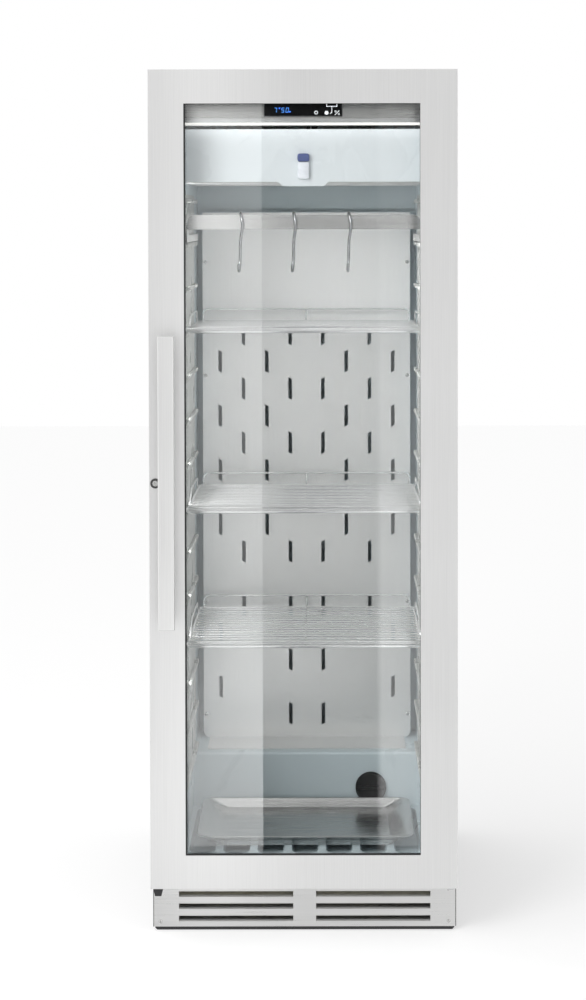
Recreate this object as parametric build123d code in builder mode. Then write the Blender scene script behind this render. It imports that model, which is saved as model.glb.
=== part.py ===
from build123d import *
import math
import os

os.makedirs("parts", exist_ok=True)

# Overall sizes in millimetres, with the origin on the floor under the middle of the whole thing
cabinet_width = 595.0
cabinet_height = 1685.0
case_depth = 622.0
door_thickness = 48.0
seal_gap = 10.0
handle_reach = 48.0

# Clearances and working values
fit_gap = 0.2
rest_gap = 0.3
running_gap = 0.06
cut_overrun = 5.0

half_width = cabinet_width / 2
total_depth = handle_reach + door_thickness + seal_gap + case_depth
handle_front_y = -total_depth / 2
door_front_y = handle_front_y + handle_reach
door_back_y = door_front_y + door_thickness
body_front_y = door_back_y + seal_gap
rear_y = body_front_y + case_depth

# Case panels and base
sheet = 1.2
base_sheet = 2.0
base_bottom_z = 6.0
base_inset = 3.5
base_side_flange = 32.0
plinth_bottom_z = 1.0
plinth_corner = 4.0
base_front_setback = 3.0
rear_cover_top_z = 198.0
rear_slot_count = 9
rear_slot_width = 150.0
rear_slot_height = 6.0
rear_slot_pitch = 16.0
base_top_z = base_bottom_z + base_sheet
case_inner = half_width - sheet

# Levelling feet
foot_pad_radius = 18.0
foot_pad_thickness = 4.5
foot_stud_radius = 4.0
foot_stud_height = 40.0
foot_boss_radius = 9.0
foot_boss_height = 12.0
foot_side_inset = 35.5
foot_front_inset = 38.0
foot_rear_inset = 36.0
foot_x = half_width - foot_side_inset
foot_front_y = body_front_y + foot_front_inset
foot_rear_y = rear_y - foot_rear_inset

# Inner liner
liner_wall = 2.0
liner_side_margin = 54.5
liner_floor_z = 137.0
ceiling_drop = 49.0
hump_depth = 366.0
hump_top_z = 251.0
hump_edge_radius = 6.0
liner_back_margin = 80.0
groove_depth = 18.0
groove_pitch = 68.5
groove_width = 53.5
groove_side_margin = 8.0
groove_taper = 12.0
groove_front_setback = 47.0
groove_back_setback = 14.0
liner_half_width = half_width - liner_side_margin
liner_ceiling_z = cabinet_height - ceiling_drop
liner_depth = case_depth - liner_back_margin
groove_room = (liner_half_width - groove_side_margin) * 2 + groove_pitch - groove_width
groove_count = int(groove_room / groove_pitch)
hump_y = body_front_y + hump_depth
liner_back_y = body_front_y + liner_depth
liner_floor_wall = groove_depth + liner_wall

# Foam between case and liner
foam_bottom_z = 92.0
machine_wall_gap = 60.0
machine_front_y = hump_y + machine_wall_gap
machine_top_z = 200.0

# Side runners
rib_first_z = 270.0
rib_pitch = 90.0
rib_height = 9.0
rib_reach = 11.0
rib_setback = 22.0
rib_back_gap = 153.0
runner_plate = 3.0
runner_margin = 8.0
runner_cover_gap = 10.0
rib_inner_x = liner_half_width - rib_reach
rib_length = liner_depth - rib_setback - rib_back_gap

# Slotted back panel in front of the air duct
duct_depth = 55.0
duct_sheet = 1.2
duct_side_gap = 14.5
duct_top_gap = 58.5
duct_lip = 94.0
duct_corner = 14.0
slot_height = 50.0
slot_width = 8.0
slot_slant = 4.0
slot_first_z = 304.1
slot_row_count = 15
slot_top_margin = 267.9
slot_column_count = 4
slot_side_margin = 38.3
slot_first_x = 36.0
duct_screw_inset = 6.3
duct_screw_first_z = 303.0
duct_screw_top_margin = 109.0
duct_screw_count = 5
duct_half_width = liner_half_width - duct_side_gap
duct_screw_x = duct_half_width - duct_screw_inset
duct_front_y = liner_back_y - duct_depth
# Each row of slots counted from below names the columns that it has, counted from the middle
slot_columns_by_row = {
    0: (0,), 1: (3,), 2: (0,), 3: (3,), 4: (0, 2), 6: (0, 2), 7: (1, 3), 8: (0, 2),
    9: (1, 3), 10: (0, 2), 11: (1, 3), 12: (0, 2), 13: (1, 3), 14: (0, 2),
}

# Screws seen from the front
screw_head_radius = 4.0
screw_head_height = 1.6
screw_shank_radius = 2.0
screw_shank_length = 6.0
screw_slot = 1.0

# Cooling unit above the inside
cover_front_setback = 27.0
cover_drop = 165.5
cover_height = 103.5
cover_wall = 2.0
cover_tab_half_width = 50.0
cover_tab_drop = 8.5
cover_tab_taper = 10.0
cover_hole_radius = 2.6
cover_hole_pitch = 12.0
cover_hole_columns = 12
cover_hole_rows = 3
cover_hole_side_margin = 37.0
cover_hole_setback = 40.0
clip_width = 9.0
clip_rise = 36.5
clip_height = 17.0
clip_thickness = 5.0
clip_edge_inset = 5.0
coil_side_gap = 53.0
coil_rise = 24.5
coil_setback = 198.0
coil_depth = 130.0
coil_fin_count = 16
coil_fin_thickness = 1.5
coil_pass_count = 5
coil_pipe_radius = 4.5
coil_bend_radius = 9.0
coil_end_reach = 16.0
fan_blade_count = 5
fan_radius = 54.0
fan_hub_radius = 18.0
fan_hub_length = 18.0
fan_blade_thickness = 2.0
fan_blade_chord = 24.0
fan_blade_pitch = 28.0
fan_tip_gap = 3.0
fan_shaft_radius = 3.0
fan_shaft_length = 16.0
fan_plate = 3.0
fan_motor_radius = 22.0
fan_motor_length = 30.0
fan_spoke_width = 6.0
fan_spoke_count = 3
fan_rim_width = 6.0
fan_plate_reach = fan_radius + fan_tip_gap + fan_rim_width
evaporator_fan_setback = 408.0
evaporator_fan_rise = 81.5
evaporator_plate_half_width = 150.0
cover_bottom_z = liner_ceiling_z - cover_drop
cover_top_z = cover_bottom_z + cover_height
cover_hole_row_half = cover_hole_pitch * (cover_hole_columns - 1) / 2
cover_hole_x = liner_half_width - cover_hole_side_margin - cover_hole_row_half
clip_low_z = cover_bottom_z + clip_rise
clip_high_z = clip_low_z + clip_height
coil_half_width = liner_half_width - coil_side_gap
coil_low_z = cover_bottom_z + coil_rise
coil_front_y = body_front_y + coil_setback
evaporator_fan_y = body_front_y + evaporator_fan_setback
evaporator_fan_z = cover_bottom_z + evaporator_fan_rise

# Levels that follow the cover: the top of the slotted panel, its rows, and the number of ribs
duct_top_z = cover_bottom_z - duct_top_gap
slot_row_pitch = (duct_top_z - slot_first_z - slot_top_margin) / (slot_row_count - 1)
slot_column_pitch = (duct_half_width - slot_first_x - slot_side_margin) / (slot_column_count - 1)
duct_screw_pitch = (duct_top_z - duct_screw_first_z - duct_screw_top_margin) / (duct_screw_count - 1)
rib_room = cover_bottom_z - runner_cover_gap - runner_margin - rib_first_z
rib_count = int(rib_room / rib_pitch) + 1

# Control strip, light and air sensor
fascia_setback = 12.0
fascia_height = 41.0
fascia_return = 40.0
display_half_width = 77.0
display_rise = 2.5
display_height = 32.5
display_proud = 1.0
display_depth = 18.0
light_setback = 17.0
light_drop = 14.8
light_depth = 22.0
light_wall = 1.5
light_slot_height = 5.0
light_slot_rise = 1.0
sensor_x = 0.25
sensor_radius = 11.75
sensor_rise = 5.5
sensor_height = 50.0
sensor_depth = 10.0
sensor_groove = 0.8
sensor_cap_height = 16.0
fascia_bottom_z = liner_ceiling_z - fascia_height
display_low_z = fascia_bottom_z + display_rise
display_high_z = display_low_z + display_height
light_bottom_z = fascia_bottom_z - light_drop
sensor_low_z = cover_bottom_z + sensor_rise
sensor_high_z = sensor_low_z + sensor_height

# Hanging rail and its hooks
rail_setback = 52.0
rail_sheet = 2.0
rail_rise = 26.8
rail_height = 29.0
rail_side_gap = 11.5
rail_corner = 16.0
rail_arm_length = 300.0
rail_arm_height = 16.0
rail_arm_foot = 6.5
rail_ribs_above = 1
rail_half_width = liner_half_width - rail_side_gap
rail_rib_number = rib_count - 1 - rail_ribs_above
hook_wire_radius = 3.0
# The middle of the hook's wire: its place along the bar, in front of the bar and below the top of the loop
hook_route = [
    (0.0, -9.0, 14.0), (0.0, -7.0, 4.0), (0.0, 0.0, 0.0), (1.5, 7.5, 4.0), (3.5, 11.0, 14.0), (4.5, 11.5, 26.0),
    (2.5, 9.0, 42.0), (0.5, 8.0, 56.0), (0.0, 8.0, 80.0), (-0.5, 8.0, 96.0), (-1.5, 11.0, 108.0),
    (-2.0, 18.0, 114.0), (-2.0, 26.0, 110.0), (-2.0, 29.0, 101.0),
]
hook_places = {"left": -125.0, "middle": -20.0, "right": 89.0}

# Wire shelves
shelf_rod_radius = 3.0
shelf_wire_radius = 1.8
shelf_side_gap = 7.0
shelf_setback = 79.0
shelf_back_gap = 22.0
shelf_wire_count = 16
shelf_cross_drop = 1.5
shelf_bend_radius = 12.0
guard_height = 21.0
guard_foot_shares = (0.23, 0.85)
guard_top_shares = (0.36, 0.8)
rear_guard_height = 24.0
rear_guard_inset = 10.0
front_guard_height = 6.2
guard_wire_radius = 2.2
guard_bend_radius = 7.0
front_guard_bend = 4.0
shelf_rib_shares = {"low": 3 / 14, "middle": 6 / 14, "high": 10 / 14}
shelf_half_width = liner_half_width - shelf_side_gap
rear_guard_half_width = shelf_half_width - rear_guard_inset
shelf_depth = liner_depth - duct_depth - shelf_setback - shelf_back_gap

# Drip tray
tray_side_gap = 22.5
tray_setback = 90.0
tray_back_gap = 9.8
tray_height = 20.0
tray_sheet = 1.2
tray_corner = 24.0
tray_rim = 5.0
tray_side_run = 42.0
tray_end_run = 5.0
tray_floor_corner = 12.0
tray_edge_round = 0.5
tray_half_width = liner_half_width - tray_side_gap
tray_depth = hump_depth - tray_setback - tray_back_gap

# Air filter in the hump's face
filter_side_gap = 105.0
filter_z = 176.3
filter_cap_radius = 33.0
filter_cap_thickness = 5.0
filter_rim = 4.0
filter_rim_height = 3.0
filter_bar_width = 9.0
filter_bar_height = 7.0
filter_body_radius = 25.0
filter_body_length = 36.0
filter_bore_gap = 1.0
filter_x = liner_half_width - filter_side_gap

# Kick plate
kick_low_z = 8.0
kick_high_z = 94.0
kick_sheet = 1.5
louvre_inner_x = 22.4
louvre_side_margin = 50.5
louvre_height = 11.0
louvre_pitch = 24.1
louvre_top_z = 77.6
louvre_rows = 3
flap_rise = 9.0
flap_depth = 12.0
kick_screw_inset = 14.5
kick_screw_low_z = 18.0
kick_screw_high_z = 82.0
louvre_width = half_width - louvre_side_margin - louvre_inner_x
kick_screw_x = half_width - kick_screw_inset

# Door
door_bottom_z = 102.0
door_stile = 70.2
window_rise = 65.4
window_drop = 65.5
window_x = -1.8
door_edge_round = 1.0
bead_width = 1.9
bead_shift = 1.3
bead_thickness = 2.6
glass_overlap = 17.0
glass_thickness = 4.0
spacer_width = 10.0
spacer_thickness = 16.0
spacer_inner_lip = 5.0
gasket_inset = 25.5
gasket_width = 18.0
gasket_rise = 7.0
gasket_drop = 25.0
rest_block_inset = 4.5
rest_block_width = 20.0
rest_block_height = 15.0
rest_block_setback = 5.0
rest_block_depth = 30.0
rest_block_taper = 4.0
window_half_width = half_width - door_stile
window_low_z = door_bottom_z + window_rise
window_high_z = cabinet_height - window_drop
gasket_half_width = half_width - gasket_inset
gasket_low_z = door_bottom_z + gasket_rise
gasket_high_z = cabinet_height - gasket_drop
rest_block_low_x = rest_block_inset - half_width
rest_block_high_x = rest_block_low_x + rest_block_width

# Handle
handle_inset = 21.0
handle_width = 31.0
handle_low_z = 614.0
handle_length = 561.0
handle_thickness = 14.0
handle_edge = 2.0
handle_post_radius = 8.0
handle_post_inset = 60.0
handle_low_x = handle_inset - half_width

# Lock
lock_inset = 12.1
lock_z = 889.0
lock_head_radius = 9.5
lock_head_proud = 3.0
lock_barrel_radius = 8.0
lock_plug_radius = 5.5
lock_plug_recess = 0.8
key_slot_width = 1.4
key_slot_height = 7.0
key_slot_depth = 2.5
lock_shaft_radius = 3.0
lock_bar_length = 15.0
lock_bar_width = 4.0
lock_bar_thickness = 3.0
lock_bar_behind = 3.0
lock_slot_height = 18.0
lock_slot_width = 8.0
lock_pocket_radius = 9.0
lock_pocket_depth = 14.0
keeper_sheet = 1.5
keeper_half_width = 9.0
keeper_half_height = 16.0
lock_x = lock_inset - half_width

# Hinges at the right
hinge_inset = 12.0
hinge_setback = 22.0
hinge_pin_radius = 4.0
hinge_leaf = 4.0
hinge_arm_half_width = 8.0
hinge_foot_inset = 2.0
hinge_foot_width = 21.0
hinge_foot_plate = 3.0
hinge_notch_width = 35.5
hinge_notch_depth = 41.0
hinge_notch_height = 20.0
top_leaf_drop = 11.0
top_foot_height = 9.5
pin_engagement = 24.0
pin_collar_radius = 7.0
lower_leaf_gap = 2.6
lower_foot_height = 12.6
hinge_x = half_width - hinge_inset
hinge_y = door_front_y + hinge_setback
hinge_foot_right_x = half_width - hinge_foot_inset
hinge_foot_left_x = hinge_foot_right_x - hinge_foot_width
hinge_notch_left_x = half_width - hinge_notch_width
lower_leaf_z = door_bottom_z - lower_leaf_gap - hinge_leaf
lower_foot_high_z = lower_leaf_z + lower_foot_height

# Machine compartment
compressor_x = 150.0
compressor_length = 170.0
compressor_breadth = 124.0
compressor_height = 128.0
compressor_round = 34.0
compressor_base = 3.0
compressor_foot_x = 84.0
compressor_foot_y = 44.0
compressor_foot_hole = 6.0
mount_radius = 11.0
mount_height = 14.0
mount_neck_radius = 5.6
mount_head_height = 4.0
relay_width = 34.0
relay_depth = 50.0
relay_height = 60.0
condenser_side_gap = 82.5
condenser_front_setback = 40.0
condenser_depth = 250.0
condenser_level_z = 44.0
condenser_pass_count = 9
condenser_pipe_radius = 3.0
condenser_bend_radius = 12.0
condenser_fin_count = 15
condenser_fin_share = 0.9
condenser_fin_thickness = 1.2
condenser_fin_height = 24.0
condenser_leg = 6.0
condenser_half_width = half_width - condenser_side_gap
condenser_fan_x = -120.0
condenser_fan_z = 84.0
condenser_fan_setback = 70.0
pan_x = -180.0
pan_half_width = 60.0
pan_depth = 90.0
pan_height = 26.0
pan_wall = 2.0
pipe_radius = 3.5
pipe_bend_radius = 14.0
inlet_side_inset = 67.5
inlet_z = 90.0
inlet_width = 28.0
inlet_height = 22.0
inlet_depth = 24.0
inlet_flange = 3.0
inlet_flange_reach = 6.0
inlet_x = inlet_side_inset - half_width
machine_middle_y = (machine_front_y + rear_y) / 2


def facing(y):
    """The upright plane at depth y that faces the front."""
    return Plane.XZ.offset(-y)


def block(x_low, x_high, y_low, y_high, z_low, z_high, mode=Mode.ADD):
    """A box between two corners in the part that is being built."""
    middle = ((x_low + x_high) / 2, (y_low + y_high) / 2, (z_low + z_high) / 2)
    with Locations(middle):
        return Box(x_high - x_low, y_high - y_low, z_high - z_low, mode=mode)


def upright(x, y, z_low, z_high, radius, mode=Mode.ADD):
    """A standing cylinder in the part that is being built."""
    with Locations((x, y, (z_low + z_high) / 2)):
        return Cylinder(radius, z_high - z_low, mode=mode)


def along_depth(x, z, y_low, y_high, radius, mode=Mode.ADD):
    """A cylinder along the depth in the part that is being built."""
    with Locations((x, (y_low + y_high) / 2, z)):
        return Cylinder(radius, y_high - y_low, rotation=(90, 0, 0), mode=mode)


def rectangle_between(x_low, x_high, z_low, z_high, mode=Mode.ADD):
    """A rectangle between two corners in the sketch that is being drawn."""
    with Locations(((x_low + x_high) / 2, (z_low + z_high) / 2)):
        return Rectangle(x_high - x_low, z_high - z_low, mode=mode)


def bent_wire(points, bend_radius, wire_radius):
    """A round wire along the points, with its corners bent."""
    with BuildPart() as wire:
        with BuildLine() as path:
            FilletPolyline(*points, radius=bend_radius)
        with BuildSketch(Plane(origin=path.line @ 0, z_dir=path.line % 0)):
            Circle(wire_radius)
        sweep(path=path.line)
    return wire.part


def cavity_outline(grow, floor_grow, front_y):
    """The inside in depth and height, with its walls moved out by grow and its floor by floor_grow."""
    return [
        (front_y, liner_floor_z - floor_grow),
        (hump_y + grow, liner_floor_z - floor_grow),
        (hump_y + grow, hump_top_z - grow),
        (liner_back_y + grow, hump_top_z - grow),
        (liner_back_y + grow, liner_ceiling_z + grow),
        (front_y, liner_ceiling_z + grow),
    ]


def hump_vertex(sketch, grow):
    """The corner at the hump's edge in a sketch of the inside whose walls are moved out by grow."""
    return sketch.vertices().sort_by_distance((hump_y + grow, hump_top_z - grow))[0]


def finish_part(name, made):
    """Labels a finished piece and writes it."""
    made.part.label = name
    export_step(made.part, f"parts/{name}.step")


# Case: two side panels, the top, the back and the cover of the machine compartment
for side_name, side in (("left", -1), ("right", 1)):
    with BuildPart() as side_panel:
        edge_x = sorted((side * half_width, side * case_inner))
        block(edge_x[0], edge_x[1], body_front_y, rear_y, kick_low_z, cabinet_height)
    finish_part(f"side_panel_{side_name}", side_panel)

panel_half_width = case_inner - fit_gap
with BuildPart() as top_panel:
    block(-panel_half_width, panel_half_width, body_front_y, rear_y, cabinet_height - sheet, cabinet_height)
finish_part("top_panel", top_panel)

back_panel_top = cabinet_height - sheet - fit_gap
with BuildPart() as back_panel:
    block(
        -panel_half_width, panel_half_width, rear_y - sheet, rear_y,
        rear_cover_top_z + fit_gap, back_panel_top,
    )
finish_part("back_panel", back_panel)

with BuildPart() as rear_cover:
    block(-panel_half_width, panel_half_width, rear_y - sheet, rear_y, kick_low_z, rear_cover_top_z)
    slot_middle_z = (kick_low_z + rear_cover_top_z) / 2
    with BuildSketch(facing(rear_y + cut_overrun)):
        with Locations((0, slot_middle_z)):
            with GridLocations(rear_slot_width * 2, rear_slot_pitch, 2, rear_slot_count):
                SlotOverall(rear_slot_width, rear_slot_height)
        inlet_half = inlet_width / 2 + fit_gap
        rectangle_between(
            inlet_x - inlet_half, inlet_x + inlet_half,
            inlet_z - inlet_height / 2 - fit_gap, inlet_z + inlet_height / 2 + fit_gap,
        )
    extrude(amount=sheet + cut_overrun * 2, mode=Mode.SUBTRACT)
finish_part("rear_cover", rear_cover)

foot_places = {
    "front_left": (-foot_x, foot_front_y),
    "front_right": (foot_x, foot_front_y),
    "rear_left": (-foot_x, foot_rear_y),
    "rear_right": (foot_x, foot_rear_y),
}
base_half_width = half_width - base_inset
base_front_y = body_front_y + base_front_setback
base_back_y = rear_y - sheet - fit_gap
with BuildPart() as base_tray:
    block(-base_half_width, base_half_width, base_front_y, base_back_y, base_bottom_z, base_top_z)
    for side in (-1, 1):
        flange_x = sorted((side * base_half_width, side * (base_half_width - base_sheet)))
        block(flange_x[0], flange_x[1], base_front_y, base_back_y, base_bottom_z, base_bottom_z + base_side_flange)
    with BuildSketch(facing(base_front_y + base_sheet)):
        with BuildLine():
            Polyline(
                (-base_half_width, base_top_z),
                (-base_half_width, plinth_bottom_z + plinth_corner),
                (-base_half_width + plinth_corner, plinth_bottom_z),
                (base_half_width - plinth_corner, plinth_bottom_z),
                (base_half_width, plinth_bottom_z + plinth_corner),
                (base_half_width, base_top_z),
                close=True,
            )
        make_face()
    extrude(amount=base_sheet)
    for foot_place in foot_places.values():
        upright(*foot_place, base_bottom_z, base_bottom_z + foot_boss_height, foot_boss_radius)
    for foot_place in foot_places.values():
        upright(
            *foot_place, plinth_bottom_z, base_bottom_z + foot_boss_height + cut_overrun,
            foot_stud_radius + running_gap, Mode.SUBTRACT,
        )
finish_part("base_tray", base_tray)

for foot_name, foot_place in foot_places.items():
    with BuildPart() as foot:
        upright(*foot_place, 0, foot_pad_thickness, foot_pad_radius)
        chamfer(foot.edges().group_by(Axis.Z)[-1], foot_pad_thickness / 3)
        upright(*foot_place, foot_pad_thickness / 2, foot_stud_height, foot_stud_radius)
    finish_part(f"foot_{foot_name}", foot)

# Liner: one deep moulding with a stepped hump at the back of the floor and a flange round its mouth
with BuildPart() as inner_liner:
    with BuildSketch(Plane.YZ) as liner_sketch:
        with BuildLine():
            Polyline(*cavity_outline(liner_wall, liner_floor_wall, body_front_y), close=True)
        make_face()
        fillet(hump_vertex(liner_sketch, liner_wall), hump_edge_radius - liner_wall)
    extrude(amount=liner_half_width + liner_wall, both=True)
    block(
        -panel_half_width, panel_half_width, body_front_y, body_front_y + liner_wall,
        door_bottom_z, back_panel_top,
    )
    with BuildSketch(Plane.YZ) as cavity_sketch:
        with BuildLine():
            Polyline(*cavity_outline(0, 0, body_front_y - cut_overrun), close=True)
        make_face()
        fillet(hump_vertex(cavity_sketch, 0), hump_edge_radius)
    extrude(amount=liner_half_width, both=True, mode=Mode.SUBTRACT)
    groove_front_y = body_front_y + groove_front_setback
    groove_back_y = hump_y - groove_back_setback
    groove_length = groove_back_y - groove_front_y
    with BuildSketch(Plane.XY.offset(liner_floor_z)):
        with Locations((0, (groove_front_y + groove_back_y) / 2)):
            with GridLocations(groove_pitch, groove_pitch, groove_count, 1):
                SlotOverall(groove_length, groove_width, rotation=90)
    extrude(amount=-groove_depth, taper=groove_taper, mode=Mode.SUBTRACT)
    along_depth(filter_x, filter_z, hump_y - cut_overrun, hump_y + liner_wall + cut_overrun,
                filter_body_radius + filter_bore_gap, Mode.SUBTRACT)
    block(
        lock_x - lock_slot_width / 2, lock_x + lock_slot_width / 2, body_front_y - cut_overrun,
        body_front_y + liner_wall + cut_overrun, lock_z - lock_slot_height / 2, lock_z + lock_slot_height / 2,
        Mode.SUBTRACT,
    )
finish_part("inner_liner", inner_liner)

foam_half_width = panel_half_width - fit_gap
foam_front_y = body_front_y + liner_wall + fit_gap
foam_back_y = rear_y - sheet - fit_gap
foam_top_z = back_panel_top - fit_gap
with BuildPart() as insulation_foam:
    with BuildSketch(Plane.YZ):
        with BuildLine():
            Polyline(
                (foam_front_y, foam_bottom_z),
                (machine_front_y, foam_bottom_z),
                (machine_front_y, machine_top_z),
                (foam_back_y, machine_top_z),
                (foam_back_y, foam_top_z),
                (foam_front_y, foam_top_z),
                close=True,
            )
        make_face()
    extrude(amount=foam_half_width, both=True)
    foam_grow = liner_wall + fit_gap
    with BuildSketch(Plane.YZ) as foam_sketch:
        with BuildLine():
            Polyline(*cavity_outline(foam_grow, liner_floor_wall + fit_gap, foam_front_y - cut_overrun), close=True)
        make_face()
        fillet(hump_vertex(foam_sketch, foam_grow), hump_edge_radius - foam_grow)
    extrude(amount=liner_half_width + foam_grow, both=True, mode=Mode.SUBTRACT)
    filter_pocket_end = hump_y + filter_body_length + filter_bore_gap * 2
    along_depth(filter_x, filter_z, hump_y - cut_overrun, filter_pocket_end,
                filter_body_radius + filter_bore_gap, Mode.SUBTRACT)
    along_depth(lock_x, lock_z, foam_front_y - cut_overrun, foam_front_y + lock_pocket_depth,
                lock_pocket_radius, Mode.SUBTRACT)
finish_part("insulation_foam", insulation_foam)

# Runner panels with their ribs on both side walls
runner_front_y = body_front_y + rib_setback
runner_back_y = runner_front_y + rib_length
for side_name, side in (("left", -1), ("right", 1)):
    with BuildPart() as runner:
        wall_x = side * (liner_half_width - fit_gap)
        plate_x = sorted((wall_x, wall_x - side * runner_plate))
        top_rib_z = rib_first_z + rib_pitch * (rib_count - 1)
        block(
            plate_x[0], plate_x[1], runner_front_y, runner_back_y,
            rib_first_z - rib_height - runner_margin, top_rib_z + runner_margin,
        )
        rib_x = sorted((wall_x, side * rib_inner_x))
        for rib in range(rib_count):
            rib_top_z = rib_first_z + rib_pitch * rib
            block(rib_x[0], rib_x[1], runner_front_y, runner_back_y, rib_top_z - rib_height, rib_top_z)
    finish_part(f"runner_{side_name}", runner)

# Back panel: a shallow pan with slanted air slots
duct_bottom_z = hump_top_z + fit_gap
duct_back_y = liner_back_y - fit_gap
slot_half = slot_width / 2
slot_rise = slot_height / 2
with BuildPart() as duct_panel:
    block(-duct_half_width, duct_half_width, duct_front_y, duct_front_y + duct_sheet, duct_bottom_z, duct_top_z)
    lower_corners = duct_panel.edges().filter_by(Axis.Y).group_by(Axis.Z)[0]
    fillet(lower_corners, duct_corner)
    block(
        -duct_half_width + duct_corner, duct_half_width - duct_corner, duct_front_y - duct_lip, duct_front_y,
        duct_bottom_z, duct_bottom_z + duct_sheet,
    )
    for side in (-1, 1):
        flange_x = sorted((side * duct_half_width, side * (duct_half_width - duct_sheet)))
        block(
            flange_x[0], flange_x[1], duct_front_y, duct_back_y, duct_bottom_z + duct_corner, duct_top_z,
        )
    with BuildSketch(facing(duct_front_y + duct_sheet + cut_overrun)):
        for row, columns in slot_columns_by_row.items():
            for column in columns:
                for side in (-1, 1):
                    slot_x = side * (slot_first_x + slot_column_pitch * column)
                    slot_z = slot_first_z + slot_row_pitch * row
                    with BuildLine():
                        Polyline(
                            (slot_x + side * slot_half, slot_z - slot_rise + slot_slant),
                            (slot_x + side * slot_half, slot_z + slot_rise),
                            (slot_x - side * slot_half, slot_z + slot_rise - slot_slant),
                            (slot_x - side * slot_half, slot_z - slot_rise),
                            close=True,
                        )
                    make_face()
    extrude(amount=duct_sheet + cut_overrun * 2, mode=Mode.SUBTRACT)
    for side in (-1, 1):
        for screw in range(duct_screw_count):
            along_depth(
                side * duct_screw_x, duct_screw_first_z + duct_screw_pitch * screw, duct_front_y - cut_overrun,
                duct_front_y + duct_sheet + cut_overrun, screw_shank_radius + fit_gap, Mode.SUBTRACT,
            )
finish_part("duct_panel", duct_panel)

# Kick plate with its louvres, and every screw that shows at the front
with BuildPart() as kick_plate:
    block(-panel_half_width, panel_half_width, body_front_y, body_front_y + kick_sheet, kick_low_z, kick_high_z)
    for side in (-1, 1):
        louvre_x = sorted((side * louvre_inner_x, side * (louvre_inner_x + louvre_width)))
        for louvre in range(louvre_rows):
            louvre_high_z = louvre_top_z - louvre_pitch * louvre
            louvre_low_z = louvre_high_z - louvre_height
            block(
                louvre_x[0], louvre_x[1], body_front_y - cut_overrun, body_front_y + kick_sheet + cut_overrun,
                louvre_low_z, louvre_high_z, Mode.SUBTRACT,
            )
            with BuildSketch(Plane.YZ.offset(louvre_x[0])):
                with BuildLine():
                    Polyline(
                        (body_front_y, louvre_low_z - kick_sheet),
                        (body_front_y + kick_sheet, louvre_low_z - kick_sheet),
                        (body_front_y + flap_depth, louvre_low_z + flap_rise - kick_sheet),
                        (body_front_y + flap_depth, louvre_low_z + flap_rise),
                        (body_front_y, louvre_low_z),
                        close=True,
                    )
                make_face()
            extrude(amount=louvre_width)
        for screw_z in (kick_screw_low_z, kick_screw_high_z):
            along_depth(
                side * kick_screw_x, screw_z, body_front_y - cut_overrun, body_front_y + kick_sheet + cut_overrun,
                screw_shank_radius + fit_gap, Mode.SUBTRACT,
            )
finish_part("kick_plate", kick_plate)

screw_places = [
    (side * kick_screw_x, screw_z, body_front_y)
    for side in (-1, 1)
    for screw_z in (kick_screw_low_z, kick_screw_high_z)
]
screw_places += [
    (side * duct_screw_x, duct_screw_first_z + duct_screw_pitch * screw, duct_front_y)
    for side in (-1, 1)
    for screw in range(duct_screw_count)
]
with BuildPart() as panel_screws:
    for screw_x, screw_z, seat_y in screw_places:
        along_depth(screw_x, screw_z, seat_y - fit_gap - screw_head_height, seat_y - fit_gap, screw_head_radius)
        along_depth(screw_x, screw_z, seat_y - fit_gap * 2, seat_y + screw_shank_length, screw_shank_radius)
    rounded_heads = panel_screws.edges().filter_by(GeomType.CIRCLE)
    head_fronts = [
        edge for edge in rounded_heads
        if math.isclose(edge.radius, screw_head_radius)
        and any(math.isclose(edge.center().Y, seat_y - fit_gap - screw_head_height) for _, _, seat_y in screw_places)
    ]
    fillet(head_fronts, screw_head_height / 2)
    for screw_x, screw_z, seat_y in screw_places:
        slot_front = seat_y - fit_gap - screw_head_height
        block(
            screw_x - screw_head_radius / 2, screw_x + screw_head_radius / 2, slot_front - cut_overrun,
            slot_front + screw_slot, screw_z - screw_slot / 2, screw_z + screw_slot / 2, Mode.SUBTRACT,
        )
        block(
            screw_x - screw_slot / 2, screw_x + screw_slot / 2, slot_front - cut_overrun,
            slot_front + screw_slot, screw_z - screw_head_radius / 2, screw_z + screw_head_radius / 2, Mode.SUBTRACT,
        )
finish_part("panel_screws", panel_screws)

# Evaporator coil: a serpentine pipe through upright fins, hung from the ceiling
coil_back_y = coil_front_y + coil_depth
coil_top_z = liner_ceiling_z - fit_gap
coil_pass_z = (coil_low_z + coil_top_z) / 2
coil_row_pitch = coil_depth / coil_pass_count
coil_route = []
for coil_pass in range(coil_pass_count):
    pass_y = coil_front_y + coil_row_pitch * (coil_pass + 1 / 2)
    ends = (-coil_half_width - coil_end_reach, coil_half_width + coil_end_reach)
    for end_x in ends if coil_pass % 2 == 0 else ends[::-1]:
        coil_route.append((end_x, pass_y, coil_pass_z))
coil_pipe = bent_wire(coil_route, coil_bend_radius, coil_pipe_radius)
fin_pitch = 2 * coil_half_width / (coil_fin_count - 1)
with BuildPart() as evaporator_coil:
    add(coil_pipe)
    for fin in range(coil_fin_count):
        fin_x = -coil_half_width + fin_pitch * fin
        block(
            fin_x - coil_fin_thickness / 2, fin_x + coil_fin_thickness / 2, coil_front_y, coil_back_y,
            coil_low_z, coil_top_z,
        )
finish_part("evaporator_coil", evaporator_coil)


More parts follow.
